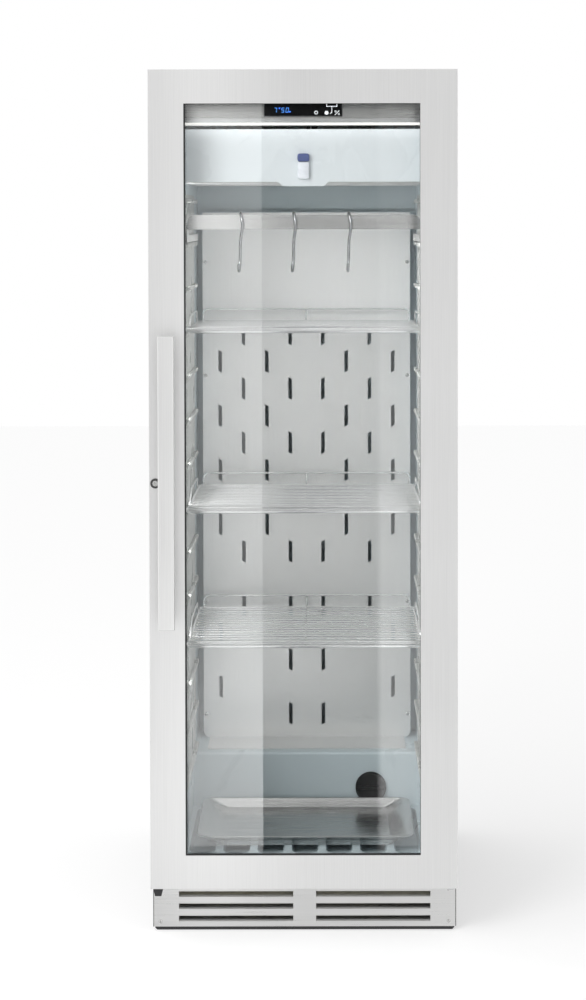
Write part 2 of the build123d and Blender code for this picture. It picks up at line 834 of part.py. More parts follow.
def fan_blades(fan_x, fan_y, fan_z):
    """A fan that turns about the depth axis: hub, pitched blades and a shaft that runs to the back."""
    hub_front_y = fan_y - fan_hub_length / 2
    with BuildPart() as fan:
        along_depth(fan_x, fan_z, hub_front_y, hub_front_y + fan_hub_length, fan_hub_radius)
        fillet(fan.edges().filter_by(GeomType.CIRCLE).sort_by(Axis.Y)[0], fan_hub_radius / 6)
        blade_root = fan_hub_radius / 2
        blade_length = fan_radius - blade_root
        with Locations(Location((fan_x, fan_y, fan_z), (90, 0, 0))):
            with PolarLocations(blade_root + blade_length / 2, fan_blade_count):
                Box(blade_length, fan_blade_chord, fan_blade_thickness, rotation=(fan_blade_pitch, 0, 0))
        along_depth(fan_x, fan_z, fan_y, hub_front_y + fan_hub_length + fan_shaft_length, fan_shaft_radius)
    return fan


def fan_holder(fan_x, fan_y, fan_z, plate_low_x, plate_high_x, plate_low_z, plate_high_z):
    """The upright plate behind a fan, with its air hole, spokes and motor."""
    hub_back_y = fan_y + fan_hub_length / 2
    plate_front_y = hub_back_y + fan_tip_gap
    with BuildPart() as holder:
        block(plate_low_x, plate_high_x, plate_front_y, plate_front_y + fan_plate, plate_low_z, plate_high_z)
        along_depth(fan_x, fan_z, plate_front_y - cut_overrun, plate_front_y + cut_overrun + fan_plate,
                    fan_radius + fan_tip_gap, Mode.SUBTRACT)
        with BuildSketch(facing(plate_front_y + fan_plate)):
            with Locations((fan_x, fan_z)):
                with PolarLocations((fan_radius + fan_tip_gap) / 2, fan_spoke_count, start_angle=90):
                    Rectangle(fan_radius + fan_tip_gap * 2, fan_spoke_width)
        extrude(amount=fan_plate)
        along_depth(fan_x, fan_z, plate_front_y, plate_front_y + fan_motor_length, fan_motor_radius)
        along_depth(fan_x, fan_z, plate_front_y - cut_overrun, hub_back_y + fan_shaft_length + fan_tip_gap,
                    fan_shaft_radius + running_gap, Mode.SUBTRACT)
    return holder


evaporator_fan = fan_blades(0, evaporator_fan_y, evaporator_fan_z)
finish_part("evaporator_fan", evaporator_fan)
evaporator_fan_holder = fan_holder(
    0, evaporator_fan_y, evaporator_fan_z, -evaporator_plate_half_width, evaporator_plate_half_width,
    cover_bottom_z + cover_wall + fit_gap, liner_ceiling_z - fit_gap,
)
finish_part("evaporator_fan_holder", evaporator_fan_holder)

# Cover below the evaporator: an upright front with a middle tab and a floor with air holes
cover_front_y = body_front_y + cover_front_setback
cover_back_y = duct_front_y - fit_gap
cover_half_width = liner_half_width - fit_gap
with BuildPart() as evaporator_cover:
    block(
        -cover_half_width, cover_half_width, cover_front_y, cover_front_y + cover_wall, cover_bottom_z, cover_top_z,
    )
    block(
        -cover_half_width, cover_half_width, cover_front_y, cover_back_y, cover_bottom_z, cover_bottom_z + cover_wall,
    )
    with BuildSketch(facing(cover_front_y + cover_wall)):
        with BuildLine():
            Polyline(
                (-cover_tab_half_width, cover_bottom_z + cover_wall),
                (-cover_tab_half_width + cover_tab_taper, cover_bottom_z - cover_tab_drop),
                (cover_tab_half_width - cover_tab_taper, cover_bottom_z - cover_tab_drop),
                (cover_tab_half_width, cover_bottom_z + cover_wall),
                close=True,
            )
        make_face()
    extrude(amount=cover_wall)
    with BuildSketch(Plane.XY.offset(cover_bottom_z - cut_overrun)):
        hole_row_y = cover_front_y + cover_hole_setback
        with Locations((-cover_hole_x, hole_row_y), (cover_hole_x, hole_row_y)):
            with GridLocations(cover_hole_pitch, cover_hole_pitch, cover_hole_columns, cover_hole_rows):
                Circle(cover_hole_radius)
    extrude(amount=cover_wall + cut_overrun * 2, mode=Mode.SUBTRACT)
finish_part("evaporator_cover", evaporator_cover)

with BuildPart() as cover_clips:
    for side in (-1, 1):
        clip_outer_x = side * (cover_half_width - clip_edge_inset)
        clip_x = sorted((clip_outer_x, clip_outer_x - side * clip_width))
        block(
            clip_x[0], clip_x[1], cover_front_y - fit_gap - clip_thickness, cover_front_y - fit_gap,
            clip_low_z, clip_high_z,
        )
    fillet(cover_clips.faces().group_by(Axis.Y)[0].edges(), clip_thickness / 4)
finish_part("cover_clips", cover_clips)

# Air sensor: an upright capsule on the cover, with a groove under its cap
sensor_back_y = cover_front_y - fit_gap
sensor_front_y = sensor_back_y - sensor_depth
with BuildPart() as air_sensor:
    with BuildSketch(facing(sensor_back_y)):
        with Locations((sensor_x, (sensor_low_z + sensor_high_z) / 2)):
            RectangleRounded(sensor_radius * 2, sensor_high_z - sensor_low_z, sensor_radius * 2 / 3)
    extrude(amount=sensor_depth)
    fillet(air_sensor.faces().sort_by(Axis.Y)[0].edges(), sensor_depth / 3)
    groove_z = sensor_high_z - sensor_cap_height
    block(
        sensor_x - sensor_radius - cut_overrun, sensor_x + sensor_radius + cut_overrun,
        sensor_front_y - cut_overrun, sensor_front_y + sensor_groove,
        groove_z - sensor_groove / 2, groove_z + sensor_groove / 2, Mode.SUBTRACT,
    )
finish_part("air_sensor", air_sensor)

# Control strip across the top of the mouth, with its display
fascia_y = body_front_y + fascia_setback
fascia_top_z = liner_ceiling_z - fit_gap
with BuildPart() as control_fascia:
    block(-cover_half_width, cover_half_width, fascia_y, fascia_y + sheet, fascia_bottom_z, fascia_top_z)
    block(
        -cover_half_width, cover_half_width, fascia_y, fascia_y + fascia_return, fascia_top_z - sheet, fascia_top_z,
    )
    block(
        -cover_half_width, cover_half_width, fascia_y, fascia_y + fascia_return, fascia_bottom_z,
        fascia_bottom_z + sheet,
    )
    block(
        -display_half_width - fit_gap, display_half_width + fit_gap, fascia_y - cut_overrun,
        fascia_y + sheet + cut_overrun, display_low_z - fit_gap, display_high_z + fit_gap, Mode.SUBTRACT,
    )
finish_part("control_fascia", control_fascia)

with BuildPart() as display_panel:
    block(
        -display_half_width, display_half_width, fascia_y - display_proud, fascia_y + display_depth,
        display_low_z, display_high_z,
    )
    fillet(display_panel.faces().sort_by(Axis.Y)[0].edges(), display_proud / 2)
finish_part("display_panel", display_panel)

light_y = body_front_y + light_setback
light_top_z = fascia_bottom_z - fit_gap
light_middle_z = light_bottom_z + light_slot_rise + light_slot_height / 2
light_slot_depth = light_depth / 2
with BuildPart() as light_profile:
    block(-cover_half_width, cover_half_width, light_y, light_y + light_depth, light_bottom_z, light_top_z)
    block(
        -cover_half_width - cut_overrun, cover_half_width + cut_overrun, light_y - cut_overrun,
        light_y + light_slot_depth, light_middle_z - light_slot_height / 2, light_middle_z + light_slot_height / 2,
        Mode.SUBTRACT,
    )
finish_part("light_profile", light_profile)

with BuildPart() as light_diffuser:
    block(
        -cover_half_width, cover_half_width, light_y + light_wall, light_y + light_slot_depth - fit_gap,
        light_middle_z - light_slot_height / 2 + fit_gap, light_middle_z + light_slot_height / 2 - fit_gap,
    )
finish_part("light_diffuser", light_diffuser)

# Hanging rail: a folded bar with an arm at each end that lies on the ribs
rail_y = body_front_y + rail_setback
rail_foot_z = rib_first_z + rib_pitch * rail_rib_number + rest_gap
rail_low_z = rail_foot_z + rail_rise
rail_high_z = rail_low_z + rail_height
with BuildPart() as hanger_rail:
    block(-rail_half_width, rail_half_width, rail_y, rail_y + rail_sheet, rail_low_z, rail_high_z)
    upper_corners = hanger_rail.edges().filter_by(Axis.Y).group_by(Axis.Z)[-1]
    fillet(upper_corners, rail_corner)
    for side in (-1, 1):
        arm_x = sorted((side * rail_half_width, side * (rail_half_width - rail_sheet)))
        with BuildSketch(Plane.YZ.offset(arm_x[0])):
            with BuildLine():
                Polyline(
                    (rail_y, rail_foot_z),
                    (rail_y + rail_arm_length, rail_foot_z),
                    (rail_y + rail_arm_length, rail_foot_z + rail_arm_height),
                    (rail_y + rail_arm_height * 2, rail_foot_z + rail_arm_height),
                    (rail_y + rail_sheet, rail_high_z - rail_corner),
                    (rail_y, rail_high_z - rail_corner),
                    close=True,
                )
            make_face()
        extrude(amount=rail_sheet)
        foot_x_range = sorted((side * (rail_half_width - rail_sheet), side * (rail_half_width + rail_arm_foot)))
        block(
            foot_x_range[0], foot_x_range[1], rail_y, rail_y + rail_arm_length,
            rail_foot_z, rail_foot_z + rail_sheet,
        )
finish_part("hanger_rail", hanger_rail)

# Hooks of round wire: a loop over the bar that opens to the back, a shank and a loop that opens to the front
hook_middle_y = rail_y + rail_sheet / 2
hook_top_z = rail_high_z + rest_gap + hook_wire_radius
for hook_name, hook_x in hook_places.items():
    hook_points = [(hook_x + along, hook_middle_y - ahead, hook_top_z - below) for along, ahead, below in hook_route]
    with BuildPart() as s_hook:
        with BuildLine() as hook_path:
            Spline(*hook_points)
        with BuildSketch(Plane(origin=hook_path.line @ 0, z_dir=hook_path.line % 0)):
            Circle(hook_wire_radius)
        sweep(path=hook_path.line)
    finish_part(f"s_hook_{hook_name}", s_hook)


def guard_points(side, deck_top_z):
    """The wire of a side guard: it stands on the side rod and leans in to a shorter top."""
    front_y = body_front_y + shelf_setback
    low_y = [front_y + shelf_depth * share for share in guard_foot_shares]
    high_y = [front_y + shelf_depth * share for share in guard_top_shares]
    guard_x = side * shelf_half_width
    return [
        (guard_x, low_y[0], deck_top_z), (guard_x, high_y[0], deck_top_z + guard_height),
        (guard_x, high_y[1], deck_top_z + guard_height), (guard_x, low_y[1], deck_top_z),
    ]


# Wire shelf at the level of its rods: a deck of rods and wires, and guards that stand on its rods
shelf_front_y = body_front_y + shelf_setback
shelf_back_y = shelf_front_y + shelf_depth
guard_z = shelf_rod_radius + rest_gap
side_guard_z = guard_z + guard_wire_radius
side_guards = [
    bent_wire(guard_points(side, side_guard_z), guard_bend_radius, guard_wire_radius)
    for side in (-1, 1)
]
rear_guard = bent_wire(
    [
        (-rear_guard_half_width, shelf_back_y, guard_z),
        (-rear_guard_half_width, shelf_back_y, guard_z + rear_guard_height),
        (rear_guard_half_width, shelf_back_y, guard_z + rear_guard_height),
        (rear_guard_half_width, shelf_back_y, guard_z),
    ],
    shelf_bend_radius, guard_wire_radius,
)
front_guard = bent_wire(
    [
        (-shelf_half_width, shelf_front_y, guard_z),
        (-shelf_half_width, shelf_front_y, guard_z + front_guard_height),
        (shelf_half_width, shelf_front_y, guard_z + front_guard_height),
        (shelf_half_width, shelf_front_y, guard_z),
    ],
    front_guard_bend, guard_wire_radius,
)
with BuildPart() as rear_guard_form:
    add(rear_guard)
    upright(0, shelf_back_y, guard_z, guard_z + rear_guard_height, shelf_wire_radius)
with BuildPart() as deck_form:
    for side in (-1, 1):
        along_depth(side * shelf_half_width, 0, shelf_front_y - shelf_rod_radius, shelf_back_y + shelf_rod_radius,
                    shelf_rod_radius)
    for rod_y in (shelf_front_y, shelf_back_y):
        with Locations((0, rod_y, 0)):
            Cylinder(shelf_rod_radius, shelf_half_width * 2, rotation=(0, 90, 0))
    wire_pitch = shelf_depth / (shelf_wire_count + 1)
    for shelf_wire in range(shelf_wire_count):
        with Locations((0, shelf_front_y + wire_pitch * (shelf_wire + 1), 0)):
            Cylinder(shelf_wire_radius, shelf_half_width * 2, rotation=(0, 90, 0))
    along_depth(0, -shelf_cross_drop, shelf_front_y, shelf_back_y, shelf_wire_radius)

for shelf_name, rib_share in shelf_rib_shares.items():
    shelf_z = rib_first_z + rib_pitch * round(rib_count * rib_share) + rest_gap + shelf_rod_radius
    with BuildPart() as shelf:
        with Locations((0, 0, shelf_z)):
            for form in (deck_form.part, *side_guards, rear_guard_form.part, front_guard):
                add(form)
    finish_part(f"shelf_{shelf_name}", shelf)

# Drip tray with sloping walls and a flat rim
tray_front_y = body_front_y + tray_setback
tray_middle_y = tray_front_y + tray_depth / 2
tray_floor_z = liner_floor_z + rest_gap
tray_wall_half_width = tray_half_width - tray_rim
tray_wall_depth = tray_depth - tray_rim * 2
tray_rim_z = tray_floor_z + tray_height


def tray_bowl(wall, low_z, mode):
    """The tray's sloping form, moved in by wall from its outer walls and standing on low_z."""
    with BuildSketch(Plane.XY.offset(tray_rim_z)) as bowl_mouth:
        with Locations((0, tray_middle_y)):
            RectangleRounded((tray_wall_half_width - wall) * 2, tray_wall_depth - wall * 2, tray_corner - wall)
    with BuildSketch(Plane.XY.offset(low_z)) as bowl_floor:
        with Locations((0, tray_middle_y)):
            RectangleRounded(
                (tray_wall_half_width - tray_side_run - wall) * 2, tray_wall_depth - (tray_end_run + wall) * 2,
                tray_floor_corner - wall,
            )
    loft(sections=[bowl_mouth.sketch, bowl_floor.sketch], mode=mode)


with BuildPart() as drip_tray:
    tray_bowl(0, tray_floor_z, Mode.ADD)
    with BuildSketch(Plane.XY.offset(tray_rim_z)):
        with Locations((0, tray_middle_y)):
            RectangleRounded(tray_half_width * 2, tray_depth, tray_corner + tray_rim)
    extrude(amount=-tray_sheet * 2)
    tray_bowl(tray_sheet, tray_floor_z + tray_sheet, Mode.SUBTRACT)
    rim_edges = drip_tray.faces().filter_by(Axis.Z).group_by(Axis.Z)[-1].edges()
    fillet(rim_edges, tray_edge_round)
finish_part("drip_tray", drip_tray)

# Air filter: a round cap with a raised rim and a grip bar, and its body in the hump's bore
filter_seat_y = hump_y - rest_gap
filter_face_y = filter_seat_y - filter_cap_thickness
with BuildPart() as air_filter:
    along_depth(filter_x, filter_z, filter_face_y, filter_seat_y, filter_cap_radius)
    with BuildSketch(facing(filter_face_y)):
        with Locations((filter_x, filter_z)):
            Circle(filter_cap_radius)
            Circle(filter_cap_radius - filter_rim, mode=Mode.SUBTRACT)
            Rectangle((filter_cap_radius - filter_rim / 2) * 2, filter_bar_width)
    extrude(amount=filter_rim_height)
    with BuildSketch(facing(filter_face_y)):
        with Locations((filter_x, filter_z)):
            Rectangle(filter_cap_radius, filter_bar_width / 2)
    extrude(amount=filter_bar_height)
    along_depth(filter_x, filter_z, filter_seat_y, hump_y + filter_body_length, filter_body_radius)
finish_part("air_filter", air_filter)

# Door: a folded steel skin round the window, with returns at its outer edges
door_half_width = half_width
door_top_z = cabinet_height
hinge_notch_back = door_back_y + cut_overrun
notch_low_z = door_top_z - hinge_notch_height
notch_front_y = door_back_y - hinge_notch_depth
door_middle_z = (door_bottom_z + door_top_z) / 2
door_tall = door_top_z - door_bottom_z
window_middle_z = (window_low_z + window_high_z) / 2
window_tall = window_high_z - window_low_z


def hinge_notch():
    """The space in the door's top corner that the upper hinge arm sweeps, open to the side, top and back."""
    block(
        hinge_notch_left_x, half_width + cut_overrun, notch_front_y, hinge_notch_back,
        notch_low_z, door_top_z + cut_overrun, Mode.SUBTRACT,
    )


def hinge_bores(z_low, z_high):
    """The upright bores for the hinge pins."""
    upright(hinge_x, hinge_y, z_low, z_high, hinge_pin_radius + running_gap, Mode.SUBTRACT)


skin_back_y = door_back_y - door_edge_round
with BuildPart() as door_frame:
    with BuildSketch(facing(skin_back_y)):
        with Locations((0, door_middle_z)):
            Rectangle(door_half_width * 2, door_tall)
    extrude(amount=skin_back_y - door_front_y)
    fillet(door_frame.faces().sort_by(Axis.Y)[0].edges(), door_edge_round)
    with BuildSketch(facing(skin_back_y)):
        with Locations((0, door_middle_z)):
            Rectangle((door_half_width - sheet) * 2, door_tall - sheet * 2)
    extrude(amount=skin_back_y - door_front_y - sheet, mode=Mode.SUBTRACT)
    with BuildSketch(facing(skin_back_y)):
        with Locations((window_x, window_middle_z)):
            Rectangle(window_half_width * 2, window_tall)
    extrude(amount=skin_back_y - door_front_y + cut_overrun, mode=Mode.SUBTRACT)
    hinge_notch()
    hinge_bores(door_bottom_z - cut_overrun, door_bottom_z + cut_overrun)
    along_depth(lock_x, lock_z, door_front_y - cut_overrun, door_front_y + cut_overrun,
                lock_barrel_radius + fit_gap, Mode.SUBTRACT)
finish_part("door_frame", door_frame)

# Glass unit: two panes with a spacer between them, behind a black bead
inner_front_y = door_front_y + sheet + fit_gap
bead_back_y = inner_front_y + bead_thickness
outer_glass_front_y = bead_back_y + fit_gap
outer_glass_back_y = outer_glass_front_y + glass_thickness
spacer_front_y = outer_glass_back_y + fit_gap
spacer_back_y = spacer_front_y + spacer_thickness
inner_glass_front_y = spacer_back_y + fit_gap
inner_glass_back_y = inner_glass_front_y + glass_thickness
glass_half_width = window_half_width + glass_overlap
glass_tall = window_tall + glass_overlap * 2
pocket_half_width = glass_half_width + fit_gap
pocket_tall = glass_tall + fit_gap * 2


def window_ring(name, back_y, thickness, inner_half, inner_tall, inner_shift):
    """An upright frame of one thickness round the window, its opening moved up and to the right by the shift."""
    with BuildPart() as ring:
        with BuildSketch(facing(back_y)):
            with Locations((window_x, window_middle_z)):
                Rectangle(glass_half_width * 2, glass_tall)
            with Locations((window_x + inner_shift, window_middle_z + inner_shift)):
                Rectangle(inner_half * 2, inner_tall, mode=Mode.SUBTRACT)
        extrude(amount=thickness)
    finish_part(name, ring)


def pane(name, front_y):
    """One pane of the glass unit."""
    with BuildPart() as glass:
        with BuildSketch(facing(front_y + glass_thickness)):
            with Locations((window_x, window_middle_z)):
                Rectangle(glass_half_width * 2, glass_tall)
        extrude(amount=glass_thickness)
    finish_part(name, glass)


window_ring(
    "glazing_seal", bead_back_y, bead_thickness,
    window_half_width - bead_width, window_tall - bead_width * 2, bead_shift,
)
pane("outer_glass", outer_glass_front_y)
window_ring(
    "glass_spacer", spacer_back_y, spacer_thickness,
    glass_half_width - spacer_width, glass_tall - spacer_width * 2, 0,
)
pane("inner_glass", inner_glass_front_y)

lip_half_width = glass_half_width - spacer_inner_lip
lip_tall = glass_tall - spacer_inner_lip * 2
inner_frame_half = door_half_width - sheet - fit_gap
inner_frame_tall = door_tall - (sheet + fit_gap) * 2
with BuildPart() as door_inner_frame:
    with BuildSketch(facing(door_back_y)):
        with Locations((0, door_middle_z)):
            Rectangle(inner_frame_half * 2, inner_frame_tall)
        with Locations((window_x, window_middle_z)):
            Rectangle(lip_half_width * 2, lip_tall, mode=Mode.SUBTRACT)
    extrude(amount=door_back_y - inner_front_y)
    with BuildSketch(facing(inner_glass_back_y + fit_gap)):
        with Locations((window_x, window_middle_z)):
            Rectangle(pocket_half_width * 2, pocket_tall)
    extrude(amount=inner_glass_back_y + fit_gap - inner_front_y + cut_overrun, mode=Mode.SUBTRACT)
    hinge_notch()
    hinge_bores(door_bottom_z - cut_overrun, door_bottom_z + pin_engagement + rest_gap)
    hinge_bores(notch_low_z - pin_engagement - rest_gap, notch_low_z + cut_overrun)
    along_depth(lock_x, lock_z, inner_front_y - cut_overrun, door_back_y + cut_overrun,
                lock_barrel_radius + fit_gap, Mode.SUBTRACT)
finish_part("door_inner_frame", door_inner_frame)

gasket_back_y = body_front_y - rest_gap
gasket_front_y = door_back_y + fit_gap
with BuildPart() as door_gasket:
    with BuildSketch(facing(gasket_back_y)):
        rectangle_between(-gasket_half_width, gasket_half_width, gasket_low_z, gasket_high_z)
        rectangle_between(
            gasket_width - gasket_half_width, gasket_half_width - gasket_width,
            gasket_low_z + gasket_width, gasket_high_z - gasket_width, Mode.SUBTRACT,
        )
    extrude(amount=gasket_back_y - gasket_front_y)
finish_part("door_gasket", door_gasket)

block_front_y = door_front_y + rest_block_setback
block_back_y = block_front_y + rest_block_depth
block_top_z = door_bottom_z - fit_gap
block_low_z = block_top_z - rest_block_height
with BuildPart() as door_rest_block:
    with BuildSketch(facing(block_back_y)):
        with BuildLine():
            Polyline(
                (rest_block_low_x, block_top_z),
                (rest_block_low_x + rest_block_taper, block_low_z),
                (rest_block_high_x - rest_block_taper, block_low_z),
                (rest_block_high_x, block_top_z),
                close=True,
            )
        make_face()
    extrude(amount=rest_block_depth)
finish_part("door_rest_block", door_rest_block)

# Handle: a flat bar on two posts
handle_high_z = handle_low_z + handle_length
handle_back_y = handle_front_y + handle_thickness
handle_middle_x = handle_low_x + handle_width / 2
with BuildPart() as handle:
    block(
        handle_low_x, handle_low_x + handle_width, handle_front_y, handle_back_y, handle_low_z, handle_high_z,
    )
    fillet(handle.faces().sort_by(Axis.Y)[0].edges(), handle_edge)
    fillet(handle.faces().sort_by(Axis.Y)[-1].edges(), handle_edge)
    for post_z in (handle_low_z + handle_post_inset, handle_high_z - handle_post_inset):
        along_depth(handle_middle_x, post_z, handle_back_y, door_front_y - fit_gap, handle_post_radius)
finish_part("handle", handle)

# Lock: a barrel in the door, and a plug with a cross bar that turns behind the keeper's slot
lock_front_y = door_front_y - lock_head_proud
barrel_back_y = door_back_y + lock_head_proud
plug_front_y = lock_front_y + lock_plug_recess
bar_front_y = body_front_y + liner_wall + lock_bar_behind
with BuildPart() as lock_barrel:
    along_depth(lock_x, lock_z, lock_front_y, door_front_y - fit_gap, lock_head_radius)
    fillet(lock_barrel.faces().sort_by(Axis.Y)[0].edges(), lock_head_proud / 3)
    along_depth(lock_x, lock_z, door_front_y - fit_gap, barrel_back_y, lock_barrel_radius)
    along_depth(lock_x, lock_z, lock_front_y - cut_overrun, barrel_back_y + cut_overrun,
                lock_plug_radius + running_gap, Mode.SUBTRACT)
finish_part("lock_barrel", lock_barrel)

with BuildPart() as lock_plug:
    along_depth(lock_x, lock_z, plug_front_y, barrel_back_y, lock_plug_radius)
    along_depth(lock_x, lock_z, barrel_back_y, bar_front_y + lock_bar_thickness, lock_shaft_radius)
    block(
        lock_x - lock_bar_width / 2, lock_x + lock_bar_width / 2, bar_front_y, bar_front_y + lock_bar_thickness,
        lock_z - lock_bar_length / 2, lock_z + lock_bar_length / 2,
    )
    block(
        lock_x - key_slot_width / 2, lock_x + key_slot_width / 2, plug_front_y - cut_overrun,
        plug_front_y + key_slot_depth, lock_z - key_slot_height / 2, lock_z + key_slot_height / 2, Mode.SUBTRACT,
    )
finish_part("lock_plug", lock_plug)

keeper_back_y = body_front_y - fit_gap
with BuildPart() as lock_keeper:
    block(
        lock_x - keeper_half_width, lock_x + keeper_half_width, keeper_back_y - keeper_sheet, keeper_back_y,
        lock_z - keeper_half_height, lock_z + keeper_half_height,
    )
    fillet(lock_keeper.edges().filter_by(Axis.Y), keeper_half_width / 4)
    block(
        lock_x - lock_slot_width / 2, lock_x + lock_slot_width / 2, keeper_back_y - keeper_sheet - cut_overrun,
        keeper_back_y + cut_overrun, lock_z - lock_slot_height / 2, lock_z + lock_slot_height / 2, Mode.SUBTRACT,
    )
finish_part("lock_keeper", lock_keeper)


def hinge_bracket(leaf_low_z, foot_low_z, foot_high_z):
    """A hinge bracket: a leaf with a rounded end over the pin, folded to a foot on the cabinet's front."""
    foot_back_y = body_front_y - fit_gap
    with BuildPart() as bracket:
        with BuildSketch(Plane.XY.offset(leaf_low_z)):
            with Locations((hinge_x, hinge_y)):
                Circle(hinge_arm_half_width)
            with Locations((hinge_x, (hinge_y + foot_back_y) / 2)):
                Rectangle(hinge_arm_half_width * 2, foot_back_y - hinge_y)
        extrude(amount=hinge_leaf)
        block(
            hinge_foot_left_x, hinge_foot_right_x, foot_back_y - hinge_foot_plate, foot_back_y,
            foot_low_z, foot_high_z,
        )
        upright(hinge_x, hinge_y, leaf_low_z - cut_overrun, leaf_low_z + hinge_leaf + cut_overrun,
                hinge_pin_radius + running_gap / 2, Mode.SUBTRACT)
    return bracket


top_leaf_z = cabinet_height - top_leaf_drop
hinge_bracket_top = hinge_bracket(top_leaf_z, top_leaf_z, top_leaf_z + top_foot_height)
finish_part("hinge_bracket_top", hinge_bracket_top)
hinge_bracket_bottom = hinge_bracket(lower_leaf_z, lower_leaf_z, lower_foot_high_z)
finish_part("hinge_bracket_bottom", hinge_bracket_bottom)

lower_leaf_top = lower_leaf_z + hinge_leaf
with BuildPart() as hinge_pins:
    upright(hinge_x, hinge_y, lower_leaf_z, door_bottom_z + pin_engagement, hinge_pin_radius)
    upright(hinge_x, hinge_y, lower_leaf_top + running_gap, door_bottom_z - fit_gap, pin_collar_radius)
    upright(hinge_x, hinge_y, notch_low_z - pin_engagement, top_leaf_z + hinge_leaf, hinge_pin_radius)
    upright(hinge_x, hinge_y, notch_low_z + fit_gap, top_leaf_z - running_gap, pin_collar_radius)
finish_part("hinge_pins", hinge_pins)

# Machine compartment: compressor on rubber mounts, relay box, condenser with its fan, pan, pipes and inlet
compressor_low_z = base_top_z + mount_height + fit_gap
shell_low_z = compressor_low_z + compressor_base
with BuildPart() as compressor:
    with BuildSketch(Plane.XY.offset(shell_low_z)):
        with Locations((compressor_x, machine_middle_y)):
            RectangleRounded(compressor_length, compressor_breadth, compressor_breadth * 2 / 5)
    extrude(amount=compressor_height)
    fillet(compressor.faces().sort_by(Axis.Z)[-1].edges(), compressor_round)
    with BuildSketch(Plane.XY.offset(compressor_low_z)):
        with Locations((compressor_x, machine_middle_y)):
            RectangleRounded(
                (compressor_foot_x + mount_radius) * 2, (compressor_foot_y + mount_radius) * 2, mount_radius,
            )
            with GridLocations(compressor_foot_x * 2, compressor_foot_y * 2, 2, 2):
                Circle(compressor_foot_hole, mode=Mode.SUBTRACT)
    extrude(amount=compressor_base)
finish_part("compressor", compressor)

mount_head_z = compressor_low_z + compressor_base + fit_gap
with BuildPart() as compressor_mounts:
    for side_x in (-1, 1):
        for side_y in (-1, 1):
            mount_place = (compressor_x + side_x * compressor_foot_x, machine_middle_y + side_y * compressor_foot_y)
            upright(*mount_place, base_top_z + fit_gap, base_top_z + mount_height, mount_radius)
            upright(*mount_place, base_top_z + mount_height, mount_head_z, mount_neck_radius)
finish_part("compressor_mounts", compressor_mounts)

relay_right_x = compressor_x - compressor_length / 2 - fit_gap
relay_low_z = shell_low_z + compressor_round
with BuildPart() as relay_box:
    block(
        relay_right_x - relay_width, relay_right_x, machine_middle_y - relay_depth / 2,
        machine_middle_y + relay_depth / 2, relay_low_z, relay_low_z + relay_height,
    )
    fillet(relay_box.edges().filter_by(Axis.Z), relay_width / 6)
finish_part("relay_box", relay_box)

condenser_front_y = body_front_y + condenser_front_setback
condenser_row_pitch = condenser_depth / condenser_pass_count
condenser_route = []
for condenser_pass in range(condenser_pass_count):
    pass_y = condenser_front_y + condenser_row_pitch * (condenser_pass + 1 / 2)
    ends = (-condenser_half_width, condenser_half_width)
    for end_x in ends if condenser_pass % 2 == 0 else ends[::-1]:
        condenser_route.append((end_x, pass_y, condenser_level_z))
condenser_pipe = bent_wire(condenser_route, condenser_bend_radius, condenser_pipe_radius)
with BuildPart() as condenser_coil:
    add(condenser_pipe)
    fin_reach = condenser_half_width * 2 * condenser_fin_share
    for condenser_fin in range(condenser_fin_count):
        fin_x = fin_reach * (condenser_fin / (condenser_fin_count - 1) - 1 / 2)
        block(
            fin_x - condenser_fin_thickness / 2, fin_x + condenser_fin_thickness / 2, condenser_front_y,
            condenser_front_y + condenser_depth, condenser_level_z - condenser_fin_height / 2,
            condenser_level_z + condenser_fin_height / 2,
        )
    for side in (-1, 1):
        leg_x = side * fin_reach / 2
        for leg_y in (condenser_front_y + condenser_leg, condenser_front_y + condenser_depth - condenser_leg):
            block(
                leg_x - condenser_leg / 2, leg_x + condenser_leg / 2, leg_y - condenser_leg / 2,
                leg_y + condenser_leg / 2, base_top_z + fit_gap, condenser_level_z,
            )
finish_part("condenser_coil", condenser_coil)

condenser_fan_y = machine_front_y - fan_hub_length / 2 + condenser_fan_setback
condenser_fan = fan_blades(condenser_fan_x, condenser_fan_y, condenser_fan_z)
finish_part("condenser_fan", condenser_fan)
condenser_fan_holder = fan_holder(
    condenser_fan_x, condenser_fan_y, condenser_fan_z,
    condenser_fan_x - fan_plate_reach, condenser_fan_x + fan_plate_reach,
    base_top_z + fit_gap, condenser_fan_z + fan_plate_reach,
)
finish_part("condenser_fan_holder", condenser_fan_holder)

pan_back_y = rear_y - sheet - pan_wall * 2
pan_front_y = pan_back_y - pan_depth
with BuildPart() as evaporation_pan:
    block(
        pan_x - pan_half_width, pan_x + pan_half_width, pan_front_y, pan_back_y,
        base_top_z + fit_gap, base_top_z + pan_height,
    )
    block(
        pan_x - pan_half_width + pan_wall, pan_x + pan_half_width - pan_wall, pan_front_y + pan_wall,
        pan_back_y - pan_wall, base_top_z + fit_gap + pan_wall, base_top_z + pan_height + cut_overrun, Mode.SUBTRACT,
    )
finish_part("evaporation_pan", evaporation_pan)

